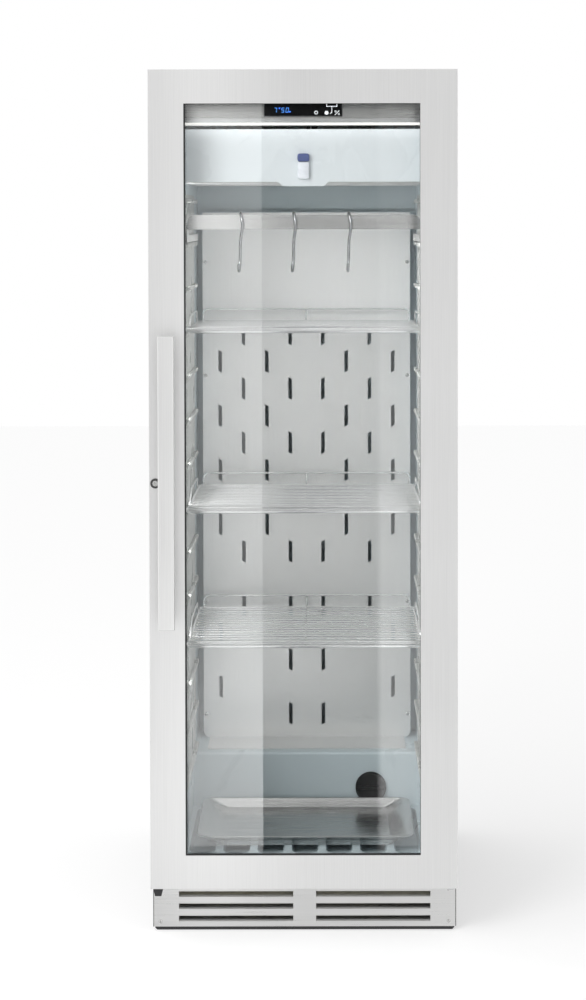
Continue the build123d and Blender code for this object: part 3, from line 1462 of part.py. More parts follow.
pipe_top_z = machine_top_z - pipe_bend_radius
pipe_start_z = shell_low_z + compressor_height + fit_gap
pipe_run_y = machine_front_y + pipe_bend_radius
with BuildPart() as power_inlet:
    block(
        inlet_x - inlet_width / 2, inlet_x + inlet_width / 2, rear_y - inlet_depth, rear_y,
        inlet_z - inlet_height / 2, inlet_z + inlet_height / 2,
    )
    block(
        inlet_x - inlet_width / 2 - inlet_flange_reach, inlet_x + inlet_width / 2 + inlet_flange_reach,
        rear_y - sheet - fit_gap - inlet_flange, rear_y - sheet - fit_gap,
        inlet_z - inlet_height / 2 - inlet_flange_reach, inlet_z + inlet_height / 2 + inlet_flange_reach,
    )
    block(
        inlet_x - inlet_width / 3, inlet_x + inlet_width / 3, rear_y - inlet_depth * 2 / 3, rear_y + cut_overrun,
        inlet_z - inlet_height / 4, inlet_z + inlet_height / 4, Mode.SUBTRACT,
    )
    inlet_pocket_y = rear_y - inlet_depth * 2 / 3
    for pin_share in (-1 / 2, 0, 1 / 2):
        with Locations((inlet_x + inlet_width / 3 * pin_share, inlet_pocket_y + inlet_depth / 6, inlet_z)):
            Box(inlet_flange / 2, inlet_depth / 3, inlet_height / 6)
finish_part("power_inlet", power_inlet)

suction_pipe = bent_wire(
    [
        (compressor_x, machine_middle_y, pipe_start_z),
        (compressor_x, machine_middle_y, pipe_top_z),
        (compressor_x - compressor_length, machine_middle_y, pipe_top_z),
        (compressor_x - compressor_length, pipe_run_y, pipe_top_z),
        (compressor_x - compressor_length, pipe_run_y, condenser_level_z + condenser_leg),
        (compressor_x - compressor_length, machine_front_y - pipe_bend_radius * 3, condenser_level_z + condenser_leg),
    ],
    pipe_bend_radius, pipe_radius,
)
with BuildPart() as refrigerant_pipes:
    add(suction_pipe)
finish_part("refrigerant_pipes", refrigerant_pipes)
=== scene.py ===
"""Dressed model of an upright dry aging cabinet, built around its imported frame."""

from __future__ import annotations

import logging
import math
from dataclasses import dataclass
from enum import Enum
from typing import Any, Sequence

import bmesh
import bpy
from mathutils import Matrix, Vector


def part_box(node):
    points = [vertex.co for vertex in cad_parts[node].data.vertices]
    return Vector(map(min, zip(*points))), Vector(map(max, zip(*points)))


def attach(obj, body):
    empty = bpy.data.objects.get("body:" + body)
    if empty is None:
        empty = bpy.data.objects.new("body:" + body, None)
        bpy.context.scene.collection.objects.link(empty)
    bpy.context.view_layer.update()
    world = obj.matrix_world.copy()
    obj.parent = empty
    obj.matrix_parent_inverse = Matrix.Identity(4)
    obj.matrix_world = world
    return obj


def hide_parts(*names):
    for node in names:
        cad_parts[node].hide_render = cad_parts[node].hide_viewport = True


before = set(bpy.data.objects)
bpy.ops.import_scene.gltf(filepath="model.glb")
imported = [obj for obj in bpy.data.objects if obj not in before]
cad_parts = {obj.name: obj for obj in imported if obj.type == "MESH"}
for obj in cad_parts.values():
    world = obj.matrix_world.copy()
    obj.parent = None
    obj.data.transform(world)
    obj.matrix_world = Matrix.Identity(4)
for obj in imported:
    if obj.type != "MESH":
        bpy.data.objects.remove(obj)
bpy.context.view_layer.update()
NODES: dict[str, bpy.types.Object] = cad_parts
MM = 0.001
SPECK = 0.01 * MM
LOG = logging.getLogger("cabinet")
Colour = tuple[float, float, float]
Point = Sequence[float]
Pair = tuple[float, float]


class Facing(Enum):
    """Which way a sheet's brushed grain runs."""

    UPRIGHT = (900.0, 900.0, 6.0)
    ACROSS = (6.0, 900.0, 900.0)
    IN_DEPTH = (900.0, 6.0, 900.0)


class Lit(Enum):
    """Colours of the parts that give light."""

    LAMP = (1.0, 0.99, 0.95)
    DIGIT = (0.10, 0.36, 1.0)
    SIGN = (0.95, 0.97, 1.0)


# Node tree helpers


class Graph:
    """A thin hand on a node tree that adds nodes and joins their sockets."""

    def __init__(self, tree: bpy.types.NodeTree) -> None:
        """Keeps the node tree to build in."""
        self.tree = tree

    def add(self, kind: str, inputs: dict[str | int, Any] | None = None, **settings: Any) -> bpy.types.Node:
        """Adds one node.

        Args:
            kind: the node's type name.
            inputs: values or sockets for its inputs, by name or number.
            settings: attributes to set on the node before its inputs.

        Returns:
            The new node.
        """
        node = self.tree.nodes.new(kind)
        for key, value in settings.items():
            setattr(node, key, value)
        for key, value in (inputs or {}).items():
            target = node.inputs[key]
            if isinstance(value, bpy.types.NodeSocket):
                self.tree.links.new(value, target)
            else:
                target.default_value = value
        return node

    def link(self, source: bpy.types.NodeSocket, target: bpy.types.NodeSocket) -> None:
        """Joins two sockets."""
        self.tree.links.new(source, target)

    def math(self, operation: str, first: Any, second: Any = 0.0) -> bpy.types.NodeSocket:
        """Adds a Math node and returns its output."""
        return self.add("ShaderNodeMath", {0: first, 1: second}, operation=operation).outputs[0]

    def ranged(
        self, value: Any, low: float, high: float, to_low: float, to_high: float
    ) -> bpy.types.NodeSocket:
        """Maps a value from one range to another.

        Args:
            value: the socket to map.
            low: the value that becomes to_low.
            high: the value that becomes to_high.
            to_low: result at low.
            to_high: result at high.

        Returns:
            The mapped value's socket.
        """
        inputs = {0: value, 1: low, 2: high, 3: to_low, 4: to_high}
        return self.add("ShaderNodeMapRange", inputs, clamp=True).outputs[0]

    def blend_value(self, factor: Any, first: Any, second: Any) -> bpy.types.NodeSocket:
        """Mixes two values by a factor and returns the value."""
        return self.add("ShaderNodeMix", {0: factor, 2: first, 3: second}, data_type="FLOAT").outputs[0]

    def blend(self, factor: Any, first: Any, second: Any) -> bpy.types.NodeSocket:
        """Mixes two colours by a factor and returns the colour."""
        return self.add("ShaderNodeMix", {0: factor, 6: first, 7: second}, data_type="RGBA").outputs[2]

    def place(self) -> bpy.types.NodeSocket:
        """Adds the object's own coordinates and returns them."""
        return self.add("ShaderNodeTexCoord").outputs["Object"]

    def noise(self, place: Any, scale: Any, **inputs: float) -> bpy.types.NodeSocket:
        """Adds a noise texture and returns its value."""
        return self.add("ShaderNodeTexNoise", {"Vector": place, "Scale": scale, **inputs}).outputs[0]

    def tinted(self, colour: Any, swing: Any) -> bpy.types.NodeSocket:
        """Lightens a colour by a swing about one and returns it."""
        factor = self.math("ADD", swing, 1.0)
        return self.add("ShaderNodeVectorMath", {0: colour, "Scale": factor}, operation="SCALE").outputs[0]


def rgba(colour: Sequence[float]) -> tuple[float, float, float, float]:
    """A colour with full opacity."""
    return (colour[0], colour[1], colour[2], 1.0)


def effect(name: str, inputs: dict[str, tuple[str, Any]], outputs: dict[str, str]) -> tuple[Graph, Any, Any]:
    """Starts a shader node group.

    Args:
        name: the group's name.
        inputs: each input's name with its socket type and first value.
        outputs: each output's name with its socket type.

    Returns:
        The group's graph, its input node and its output node.
    """
    tree = bpy.data.node_groups.new(name, "ShaderNodeTree")
    for key, (kind, value) in inputs.items():
        socket = tree.interface.new_socket(key, in_out="INPUT", socket_type=kind)
        socket.default_value = value
    for key, kind in outputs.items():
        tree.interface.new_socket(key, in_out="OUTPUT", socket_type=kind)
    graph = Graph(tree)
    return graph, graph.add("NodeGroupInput"), graph.add("NodeGroupOutput")


NUMBER = "NodeSocketFloat"
COLOUR = "NodeSocketColor"
VECTOR = "NodeSocketVector"
PATCH_SHARE = 0.3
TINT_GAIN = 4.0
ROUGH_GAIN = 0.25
DRIFT_SIZE = 2.5
MARK_RANGE = (0.35, 0.7)
WEAR_RANGE = (-0.05, 0.08)
GRAIN_DEPTH = 0.04 * MM
SKIN_DEPTH = 0.1 * MM
CELL_DEPTH = 0.4 * MM


def brushed_grain_effect() -> bpy.types.NodeTree:
    """Fine straight scratches of a brushed sheet, with broad soft patches.

    Returns:
        A group that puts out the sheet's colour, its roughness and a height for its grain.
    """
    graph, given, out = effect(
        "brushed grain",
        {
            "Grain": (VECTOR, (900.0, 900.0, 6.0)),
            "Colour": (COLOUR, rgba((0.7, 0.7, 0.7))),
            "Contrast": (NUMBER, 0.06),
            "Roughness": (NUMBER, 0.3),
            "Patch Size": (NUMBER, 3.0),
        },
        {"Colour": COLOUR, "Roughness": NUMBER, "Height": NUMBER},
    )
    place = graph.place()
    turned = graph.add("ShaderNodeMapping", {"Vector": place, "Scale": given.outputs["Grain"]})
    scratches = graph.noise(turned.outputs[0], 1.0, Detail=4.0, Roughness=0.65)
    patches = graph.noise(place, given.outputs["Patch Size"], Detail=2.0)
    centred = graph.math("SUBTRACT", graph.blend_value(PATCH_SHARE, scratches, patches), 0.5)
    swing = graph.math("MULTIPLY", graph.math("MULTIPLY", centred, given.outputs["Contrast"]), TINT_GAIN)
    graph.link(graph.tinted(given.outputs["Colour"], swing), out.inputs["Colour"])
    rough = graph.math("ADD", given.outputs["Roughness"], graph.math("MULTIPLY", centred, ROUGH_GAIN))
    graph.link(rough, out.inputs["Roughness"])
    graph.link(scratches, out.inputs["Height"])
    return graph.tree


def handled_surface_effect() -> bpy.types.NodeTree:
    """Faint wiping marks and soft colour drift of a washed surface.

    Returns:
        A group that puts out a drifting colour and a varied roughness.
    """
    graph, given, out = effect(
        "handled surface",
        {
            "Colour": (COLOUR, rgba((0.8, 0.8, 0.8))),
            "Drift": (NUMBER, 0.05),
            "Roughness": (NUMBER, 0.4),
            "Mark Size": (NUMBER, 9.0),
        },
        {"Colour": COLOUR, "Roughness": NUMBER},
    )
    place = graph.place()
    broad = graph.noise(place, DRIFT_SIZE, Detail=3.0)
    marks = graph.noise(place, given.outputs["Mark Size"], Detail=5.0, Distortion=0.8)
    swing = graph.math("MULTIPLY", graph.math("SUBTRACT", broad, 0.5), given.outputs["Drift"])
    graph.link(graph.tinted(given.outputs["Colour"], swing), out.inputs["Colour"])
    worn = graph.ranged(marks, *MARK_RANGE, *WEAR_RANGE)
    graph.link(graph.math("ADD", given.outputs["Roughness"], worn), out.inputs["Roughness"])
    return graph.tree


def moulded_skin_effect() -> bpy.types.NodeTree:
    """The fine eggshell texture of a moulded or powder coated skin.

    Returns:
        A group that puts out a height.
    """
    graph, given, out = effect("moulded skin", {"Scale": (NUMBER, 900.0)}, {"Height": NUMBER})
    grain = graph.noise(graph.place(), given.outputs["Scale"], Detail=2.0)
    graph.link(grain, out.inputs["Height"])
    return graph.tree


EFFECT_MAKERS = {
    "brushed grain": brushed_grain_effect,
    "handled surface": handled_surface_effect,
    "moulded skin": moulded_skin_effect,
}
EFFECTS: dict[str, bpy.types.NodeTree] = {}


def effect_node(graph: Graph, name: str, inputs: dict[str, Any]) -> bpy.types.Node:
    """Places one of the shared effects in a material.

    Args:
        graph: the material's graph.
        name: the effect's name.
        inputs: values for the effect's inputs.

    Returns:
        The group node.
    """
    if name not in EFFECTS:
        EFFECTS[name] = EFFECT_MAKERS[name]()
    return graph.add("ShaderNodeGroup", inputs, node_tree=EFFECTS[name])


def blank_material(name: str) -> tuple[bpy.types.Material, Graph]:
    """Starts a material without nodes.

    Args:
        name: the material's name.

    Returns:
        The material and its graph.
    """
    material = bpy.data.materials.new(name)
    material.use_nodes = True
    material.node_tree.nodes.clear()
    return material, Graph(material.node_tree)


# Finishes


@dataclass(frozen=True)
class Finish:
    """What every finish has: its name, the record's slot and a colour."""

    name: str
    slot: str
    colour: Colour
    roughness: float = 0.4
    bump: float = 0.0

    def surface(
        self, inputs: dict[str, Any] | None = None,
    ) -> tuple[bpy.types.Material, Graph, bpy.types.Node]:
        """Starts the material.

        Args:
            inputs: values for the surface shader's inputs.

        Returns:
            The material, its graph and its surface shader.
        """
        material, graph = blank_material(self.name)
        shader = graph.add("ShaderNodeBsdfPrincipled", inputs)
        graph.add("ShaderNodeOutputMaterial", {"Surface": shader.outputs[0]})
        return material, graph, shader

    def raise_grain(self, graph: Graph, shader: bpy.types.Node, height: Any, depth: float) -> None:
        """Puts a height on the shader's normal.

        Args:
            graph: the material's graph.
            shader: the surface shader.
            height: the height's socket.
            depth: real depth of the relief in metres.
        """
        relief = graph.add("ShaderNodeBump", {"Height": height, "Distance": depth, "Strength": self.bump})
        graph.link(relief.outputs[0], shader.inputs["Normal"])

    def build(self) -> bpy.types.Material:
        """Makes the material, which each finish does in its own way."""
        raise NotImplementedError


@dataclass(frozen=True)
class BrushedSteel(Finish):
    """Stainless sheet with a straight brushed grain."""

    grain: Facing = Facing.UPRIGHT
    contrast: float = 0.06
    metallic: float = 1.0

    def build(self) -> bpy.types.Material:
        """Makes the brushed metal.

        Returns:
            The material.
        """
        material, graph, shader = self.surface({"Metallic": self.metallic})
        sheet = effect_node(
            graph, "brushed grain",
            {"Grain": self.grain.value, "Colour": rgba(self.colour), "Contrast": self.contrast,
             "Roughness": self.roughness},
        )
        graph.link(sheet.outputs["Colour"], shader.inputs["Base Color"])
        graph.link(sheet.outputs["Roughness"], shader.inputs["Roughness"])
        self.raise_grain(graph, shader, sheet.outputs["Height"], GRAIN_DEPTH)
        return material


@dataclass(frozen=True)
class Moulding(Finish):
    """Moulded plastic, rubber or paint, with a fine skin and faint wiping marks."""

    skin_scale: float = 900.0
    coat: float = 0.0
    drift: float = 0.06
    metallic: float = 0.0

    def build(self) -> bpy.types.Material:
        """Makes the moulded surface.

        Returns:
            The material.
        """
        material, graph, shader = self.surface({"Coat Weight": self.coat, "Metallic": self.metallic})
        skin = effect_node(
            graph, "handled surface",
            {"Colour": rgba(self.colour), "Drift": self.drift, "Roughness": self.roughness},
        )
        graph.link(skin.outputs["Colour"], shader.inputs["Base Color"])
        graph.link(skin.outputs["Roughness"], shader.inputs["Roughness"])
        grain = effect_node(graph, "moulded skin", {"Scale": self.skin_scale})
        self.raise_grain(graph, shader, grain.outputs["Height"], SKIN_DEPTH)
        return material


@dataclass(frozen=True)
class PaneGlass(Finish):
    """Clear flat glass that lets lamp light through to what stands behind it."""

    index: float = 1.45
    clear: Colour = (0.975, 0.98, 0.98)

    def build(self) -> bpy.types.Material:
        """Makes the glass.

        Returns:
            The material.
        """
        material, graph, shader = self.surface({
            "Base Color": rgba(self.colour), "Roughness": self.roughness, "Transmission Weight": 1.0,
            "IOR": self.index,
        })
        clear = graph.add("ShaderNodeBsdfTransparent", {"Color": rgba(self.clear)})
        path = graph.add("ShaderNodeLightPath")
        passing = graph.math("MAXIMUM", path.outputs["Is Shadow Ray"], path.outputs["Is Diffuse Ray"])
        mixed = graph.add("ShaderNodeMixShader", {0: passing, 1: shader.outputs[0], 2: clear.outputs[0]})
        output = next(node for node in graph.tree.nodes if node.type == "OUTPUT_MATERIAL")
        graph.link(mixed.outputs[0], output.inputs["Surface"])
        return material


@dataclass(frozen=True)
class Glow(Finish):
    """A lit face, such as a lamp's diffuser or a digit."""

    strength: float = 1.0

    def build(self) -> bpy.types.Material:
        """Makes the lit surface."""
        colour = rgba(self.colour)
        return self.surface({
            "Base Color": colour, "Roughness": self.roughness, "Emission Color": colour,
            "Emission Strength": self.strength,
        })[0]


@dataclass(frozen=True)
class CellFoam(Finish):
    """Rigid blown foam with its open cells, whose hollows are darkened with painted shade."""

    cell_scale: float = 450.0
    # how much of the colour stays at the cells' hollow middles, as painted shade
    hollow_painted_shade: float = 0.7
    cell_range: Pair = (0.0, 0.7)

    def build(self) -> bpy.types.Material:
        """Makes the foam.

        Returns:
            The material.
        """
        material, graph, shader = self.surface({"Roughness": self.roughness})
        cells = graph.add("ShaderNodeTexVoronoi", {"Vector": graph.place(), "Scale": self.cell_scale})
        height = cells.outputs["Distance"]
        # painted shade: each cell's colour darkens toward its hollow middle, where its relief is lowest
        dark = rgba(tuple(value * self.hollow_painted_shade for value in self.colour))
        shade = graph.ranged(height, *self.cell_range, 0.0, 1.0)
        graph.link(graph.blend(shade, dark, rgba(self.colour)), shader.inputs["Base Color"])
        self.raise_grain(graph, shader, height, CELL_DEPTH)
        return material


class Palette:
    """Every finish of the cabinet, each made into a material once."""

    door_steel = BrushedSteel("door steel", "brushed_door_steel", (0.79, 0.79, 0.787), 0.46, 0.12)
    handle_steel = BrushedSteel("handle steel", "brushed_door_steel", (0.83, 0.83, 0.825), 0.33, 0.12)
    kick_steel = BrushedSteel(
        "kick plate steel", "brushed_door_steel", (0.76, 0.76, 0.755), 0.3, 0.12, grain=Facing.ACROSS)
    duct_steel = BrushedSteel(
        "back panel steel", "bright_interior_steel", (0.86, 0.86, 0.855), 0.36, 0.12, metallic=0.65)
    fascia_steel = BrushedSteel(
        "control strip steel", "bright_interior_steel", (0.55, 0.55, 0.54), 0.28, 0.12, grain=Facing.ACROSS)
    rail_steel = BrushedSteel(
        "hanging rail steel", "bright_interior_steel", (0.80, 0.80, 0.79), 0.24, 0.10, grain=Facing.ACROSS)
    tray_steel = BrushedSteel(
        "tray steel", "bright_interior_steel", (0.54, 0.54, 0.535), 0.26, 0.06, grain=Facing.ACROSS,
        contrast=0.03)
    holder_steel = BrushedSteel("holder steel", "bright_interior_steel", (0.6, 0.6, 0.59), 0.4, 0.1)
    wire = BrushedSteel(
        "polished wire", "polished_wire", (0.94, 0.94, 0.94), 0.14, 0.03, grain=Facing.ACROSS, contrast=0.03,
        metallic=0.82)
    hook_wire = BrushedSteel(
        "hook wire", "polished_wire", (0.42, 0.42, 0.43), 0.2, 0.03, grain=Facing.ACROSS, contrast=0.03)
    lock_ring = BrushedSteel("lock ring steel", "fixings", (0.10, 0.10, 0.10), 0.3, 0.05, contrast=0.03)
    fixing = BrushedSteel("fixing steel", "fixings", (0.62, 0.62, 0.61), 0.25, 0.05, contrast=0.03)
    case_paint = Moulding(
        "black case paint", "black_case_paint", (0.022, 0.022, 0.024), 0.42, 0.18, skin_scale=1400.0)
    zinc = Moulding(
        "zinc sheet", "zinc_sheet", (0.52, 0.53, 0.54), 0.42, 0.15, skin_scale=300.0, drift=0.25,
        metallic=1.0)
    liner = Moulding("pale liner", "pale_liner", (0.60, 0.68, 0.71), 0.32, 0.08, skin_scale=500.0)
    # painted shade: the runners are the liner's plastic, given a darker grey than the liner to stand in for
    # the shade on the side walls
    runner = Moulding("runner plastic", "pale_liner", (0.50, 0.51, 0.49), 0.30, 0.06, skin_scale=500.0)
    cover = Moulding("white cover", "white_cover", (0.78, 0.82, 0.84), 0.28, 0.05)
    frame_core = Moulding("door core", "white_cover", (0.62, 0.66, 0.68), 0.35, 0.10)
    foam = CellFoam("blown foam", "foam", (0.82, 0.76, 0.56), 0.9, 0.5)
    fins = BrushedSteel("fin aluminium", "coil_aluminium", (0.66, 0.67, 0.68), 0.35, 0.1, contrast=0.1)
    profile = BrushedSteel(
        "profile aluminium", "coil_aluminium", (0.72, 0.73, 0.73), 0.28, 0.1, grain=Facing.ACROSS)
    black = Moulding("black plastic", "black_plastic", (0.018, 0.018, 0.019), 0.42, 0.2, skin_scale=700.0)
    display = Moulding("display window", "display_gloss", (0.004, 0.004, 0.005), 0.08, 0.0, coat=0.6)
    bezel = Moulding("display rim", "display_gloss", (0.16, 0.16, 0.16), 0.3, 0.05)
    lamp = Glow("lamp diffuser", "lit_diffuser", Lit.LAMP.value, 0.3, strength=0.6)
    digit = Glow("display digits", "display_gloss", Lit.DIGIT.value, 0.3, strength=1.15)
    sign = Glow("display signs", "display_gloss", Lit.SIGN.value, 0.3, strength=0.7)
    sensor_white = Moulding("sensor body", "sensor_plastic", (0.86, 0.88, 0.93), 0.3, 0.04)
    sensor_blue = Moulding("sensor cap", "sensor_plastic", (0.10, 0.13, 0.30), 0.35, 0.04)
    seal = Moulding("black seal", "black_rubber", (0.012, 0.012, 0.013), 0.5, 0.15)
    gasket = Moulding("grey gasket", "grey_gasket", (0.30, 0.31, 0.32), 0.55, 0.2, skin_scale=600.0)
    glass = PaneGlass("door glass", "door_glass", (0.995, 0.998, 0.997), 0.0)
    shell = Moulding("compressor paint", "compressor_paint", (0.012, 0.012, 0.013), 0.22, 0.08, coat=0.4)
    copper = Moulding("copper pipe", "copper_pipe", (0.72, 0.36, 0.22), 0.28, 0.05, drift=0.4, metallic=1.0)

    def __init__(self) -> None:
        """Starts with no material made."""
        self.made: dict[str, bpy.types.Material] = {}

    def get(self, finish: Finish) -> bpy.types.Material:
        """The material of a finish, made when it is first asked for."""
        if finish.name not in self.made:
            self.made[finish.name] = finish.build()
        return self.made[finish.name]


PALETTE = Palette()

# Mesh helpers


def added(name: str, data: bpy.types.ID) -> bpy.types.Object:
    """Adds an object of some data to the scene.

    Args:
        name: the object's name.
        data: its mesh, curve, light or camera.

    Returns:
        The object.
    """
    thing = bpy.data.objects.new(name, data)
    bpy.context.scene.collection.objects.link(thing)
    return thing


def freed_mesh(thing: bpy.types.Object) -> bpy.types.Mesh:
    """Takes the mesh of a helper object.

    Args:
        thing: the helper, which is removed.

    Returns:
        Its mesh.
    """
    mesh = thing.data
    bpy.data.objects.remove(thing)
    return mesh


def piece_from_mesh(name: str, mesh: bpy.types.Mesh, finish: Finish, smooth: bool = True) -> bpy.types.Object:
    """Makes a piece of a mesh, with its finish.

    Args:
        name: the piece's name.
        mesh: its mesh, in the frame's place.
        finish: its finish.
        smooth: whether its faces are smooth shaded.

    Returns:
        The piece's object.
    """
    piece = added(name, mesh)
    mesh.materials.clear()
    mesh.materials.append(PALETTE.get(finish))
    for polygon in mesh.polygons:
        polygon.use_smooth = smooth
    return piece


def applied(piece: bpy.types.Object) -> bpy.types.Object:
    """Turns a piece's modifiers into its own plain mesh.

    Args:
        piece: the piece with live modifiers.

    Returns:
        The same piece, without modifiers.
    """
    bpy.context.view_layer.update()
    graph = bpy.context.evaluated_depsgraph_get()
    mesh = bpy.data.meshes.new_from_object(piece.evaluated_get(graph))
    piece.modifiers.clear()
    old = piece.data
    piece.data = mesh
    mesh.name = piece.name
    bpy.data.meshes.remove(old)
    return piece


def bevelled(piece: bpy.types.Object, width: float, segments: int = 2) -> bpy.types.Object:
    """Rounds a piece's sharp edges and applies the result.

    Args:
        piece: the piece.
        width: the rounding's width in metres.
        segments: how many faces the rounding has.

    Returns:
        The piece.
    """
    bevel = piece.modifiers.new("edges", "BEVEL")
    bevel.width = width
    bevel.segments = segments
    bevel.limit_method = "ANGLE"
    bevel.harden_normals = True
    return applied(piece)


def box_into(bm: bmesh.types.BMesh, low: Point, high: Point) -> None:
    """Adds a box between two corners to a mesh being built.

    Args:
        bm: the mesh being built.
        low: the lowest corner.
        high: the highest corner.
    """
    corners = [
        bm.verts.new((x, y, z))
        for z in (low[2], high[2]) for y in (low[1], high[1]) for x in (low[0], high[0])
    ]
    for face in ((0, 2, 3, 1), (4, 5, 7, 6), (0, 1, 5, 4), (2, 6, 7, 3), (0, 4, 6, 2), (1, 3, 7, 5)):
        bm.faces.new([corners[index] for index in face])


def boxes_mesh(name: str, *boxes: tuple[Point, Point]) -> bpy.types.Mesh:
    """A mesh of boxes.

    Args:
        name: the mesh's name.
        boxes: the corners of each box.

    Returns:
        The mesh.
    """
    bm = bmesh.new()
    for low, high in boxes:
        box_into(bm, low, high)
    return finished_mesh(name, bm)


def finished_mesh(name: str, bm: bmesh.types.BMesh, recalculate: bool = True) -> bpy.types.Mesh:
    """Ends a mesh being built.

    Args:
        name: the mesh's name.
        bm: the mesh being built, which is freed.
        recalculate: whether all faces are turned outwards.

    Returns:
        The finished mesh.
    """
    if recalculate:
        bmesh.ops.recalc_face_normals(bm, faces=bm.faces[:])
    mesh = bpy.data.meshes.new(name)
    bm.to_mesh(mesh)
    bm.free()
    return mesh


def rounded_loop(half_x: float, half_y: float, radius: float, steps: int) -> list[Pair]:
    """Points round a rectangle with round corners, anticlockwise.

    Args:
        half_x: half the width.
        half_y: half the depth.
        radius: the corners' radius.
        steps: points in each corner.

    Returns:
        The points.
    """
    points = []
    corners = ((half_x - radius, half_y - radius, 0), (radius - half_x, half_y - radius, 1),
               (radius - half_x, radius - half_y, 2), (half_x - radius, radius - half_y, 3))
    for centre_x, centre_y, quarter in corners:
        for step in range(steps + 1):
            angle = math.pi / 2 * (quarter + step / steps)
            points.append((centre_x + radius * math.cos(angle), centre_y + radius * math.sin(angle)))
    return points


def loop_stack(name: str, rings: Sequence[Sequence[Point]], capped: bool = True) -> bpy.types.Mesh:
    """Skins a stack of closed loops that have as many points each.

    Args:
        name: the mesh's name.
        rings: the loops, each a list of points.
        capped: whether the first and the last loop are filled.

    Returns:
        The mesh.
    """
    bm = bmesh.new()
    loops = [[bm.verts.new(point) for point in ring] for ring in rings]
    for lower, upper in zip(loops, loops[1:]):
        count = len(lower)
        for index in range(count):
            following = (index + 1) % count
            bm.faces.new((lower[index], lower[following], upper[following], upper[index]))
    if capped:
        bm.faces.new(list(reversed(loops[0])))
        bm.faces.new(loops[-1])
    return finished_mesh(name, bm)


def sheet_mesh(name: str, outline: Sequence[Pair], levels: Sequence[float]) -> bpy.types.Mesh:
    """A flat upright sheet that faces the front.

    Args:
        name: the mesh's name.
        outline: the sheet's corners, across and up.
        levels: the depths of its two faces.

    Returns:
        The mesh.
    """
    return loop_stack(name, [[(x, y, z) for x, z in outline] for y in levels])


def turned_form(
    name: str, profile: Sequence[Pair], centre: Point, sides: int, capped: bool = True,
) -> bpy.types.Mesh:
    """A form of revolution about an axis that runs in depth.

    Args:
        name: the mesh's name.
        profile: pairs of radius and distance along the axis.
        centre: the point on the axis where distances start.
        sides: faces round the form.
        capped: whether the two ends are filled.

    Returns:
        The mesh.
    """
    angles = [2 * math.pi * side / sides for side in range(sides)]
    return loop_stack(name, [
        [
            (centre[0] + radius * math.cos(angle), centre[1] + along, centre[2] + radius * math.sin(angle))
            for angle in angles
        ]
        for radius, along in profile
    ], capped)


def bent_path(corners: Sequence[Vector], radius: float, steps: int = 8) -> list[Vector]:
    """A path along corners, with each inner corner rounded by an arc.

    Args:
        corners: the route's points.
        radius: the bend's radius.
        steps: points in each bend.

    Returns:
        The path's points.
    """
    points = [corners[0]]
    for before, corner, after in zip(corners, corners[1:], corners[2:]):
        back = (before - corner).normalized()
        ahead = (after - corner).normalized()
        half = back.angle(ahead) / 2
        reach = radius / math.tan(half)
        middle = corner + (back + ahead).normalized() * (radius / math.sin(half))
        start = corner + back * reach - middle
        end = corner + ahead * reach - middle
        for step in range(steps + 1):
            points.append(middle + start.slerp(end, step / steps) * radius)
    points.append(corners[-1])
    return points


def smooth_path(corners: Sequence[Vector], steps: int = 6) -> list[Vector]:
    """Runs a smooth line through points.

    Args:
        corners: the points.
        steps: the parts between two points.

    Returns:
        The line's points.
    """
    ends = [corners[0] * 2 - corners[1], *corners, corners[-1] * 2 - corners[-2]]
    path = []
    for number in range(len(corners) - 1):
        before, start, end, after = ends[number:number + 4]
        for step in range(steps):
            share = step / steps
            path.append((
                start * 2 + (end - before) * share + (before * 2 - start * 5 + end * 4 - after) * share ** 2
                + (start * 3 - before - end * 3 + after) * share ** 3
            ) / 2)
    return [*path, corners[-1]]


def wire_mesh(
    name: str, paths: Sequence[Sequence[Vector]], radius: float, roundness: int = 3,
) -> bpy.types.Mesh:
    """Round wires along paths, as one mesh.

    Args:
        name: the mesh's name.
        paths: each wire's points.
        radius: the wire's radius.
        roundness: how finely the wire's section is split.

    Returns:
        The mesh.
    """
    curve = bpy.data.curves.new(name, "CURVE")
    curve.dimensions = "3D"
    curve.bevel_depth = radius
    curve.bevel_resolution = roundness
    curve.use_fill_caps = True
    for path in paths:
        spline = curve.splines.new("POLY")
        spline.points.add(len(path) - 1)
        for point, place in zip(spline.points, path):
            point.co = (*place, 1.0)
    holder = added(name, curve)
    bpy.context.view_layer.update()
    graph = bpy.context.evaluated_depsgraph_get()
    mesh = bpy.data.meshes.new_from_object(holder.evaluated_get(graph))
    bpy.data.objects.remove(holder)
    bpy.data.curves.remove(curve)
    bm = bmesh.new()
    bm.from_mesh(mesh)
    bmesh.ops.remove_doubles(bm, verts=bm.verts[:], dist=0.1 * SPECK)
    bmesh.ops.recalc_face_normals(bm, faces=bm.faces[:])
    bm.to_mesh(mesh)
    bm.free()
    return mesh


def joined(name: str, meshes: Sequence[bpy.types.Mesh]) -> bpy.types.Mesh:
    """Several meshes as one.

    Args:
        name: the new mesh's name.
        meshes: the meshes, which are removed.

    Returns:
        The joined mesh.
    """
    bm = bmesh.new()
    for mesh in meshes:
        bm.from_mesh(mesh)
    result = bpy.data.meshes.new(name)
    bm.to_mesh(result)
    bm.free()
    for mesh in meshes:
        bpy.data.meshes.remove(mesh)
    return result


def dress(node: str, finish: Finish) -> None:
    """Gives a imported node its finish.

    Args:
        node: the node's name.
        finish: the finish.
    """
    slots = NODES[node].data.materials
    slots.clear()
    slots.append(PALETTE.get(finish))
    LOG.info("dressed %s in %s", node, finish.name)


Finishes = tuple[tuple[Finish, tuple[str, ...]], ...]


@dataclass
class Dressing:
    """A sub-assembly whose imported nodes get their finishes."""

    finishes: Finishes = ()

    def build(self) -> None:
        """Dresses the nodes."""
        for finish, nodes in self.finishes:
            for node in nodes:
                dress(node, finish)


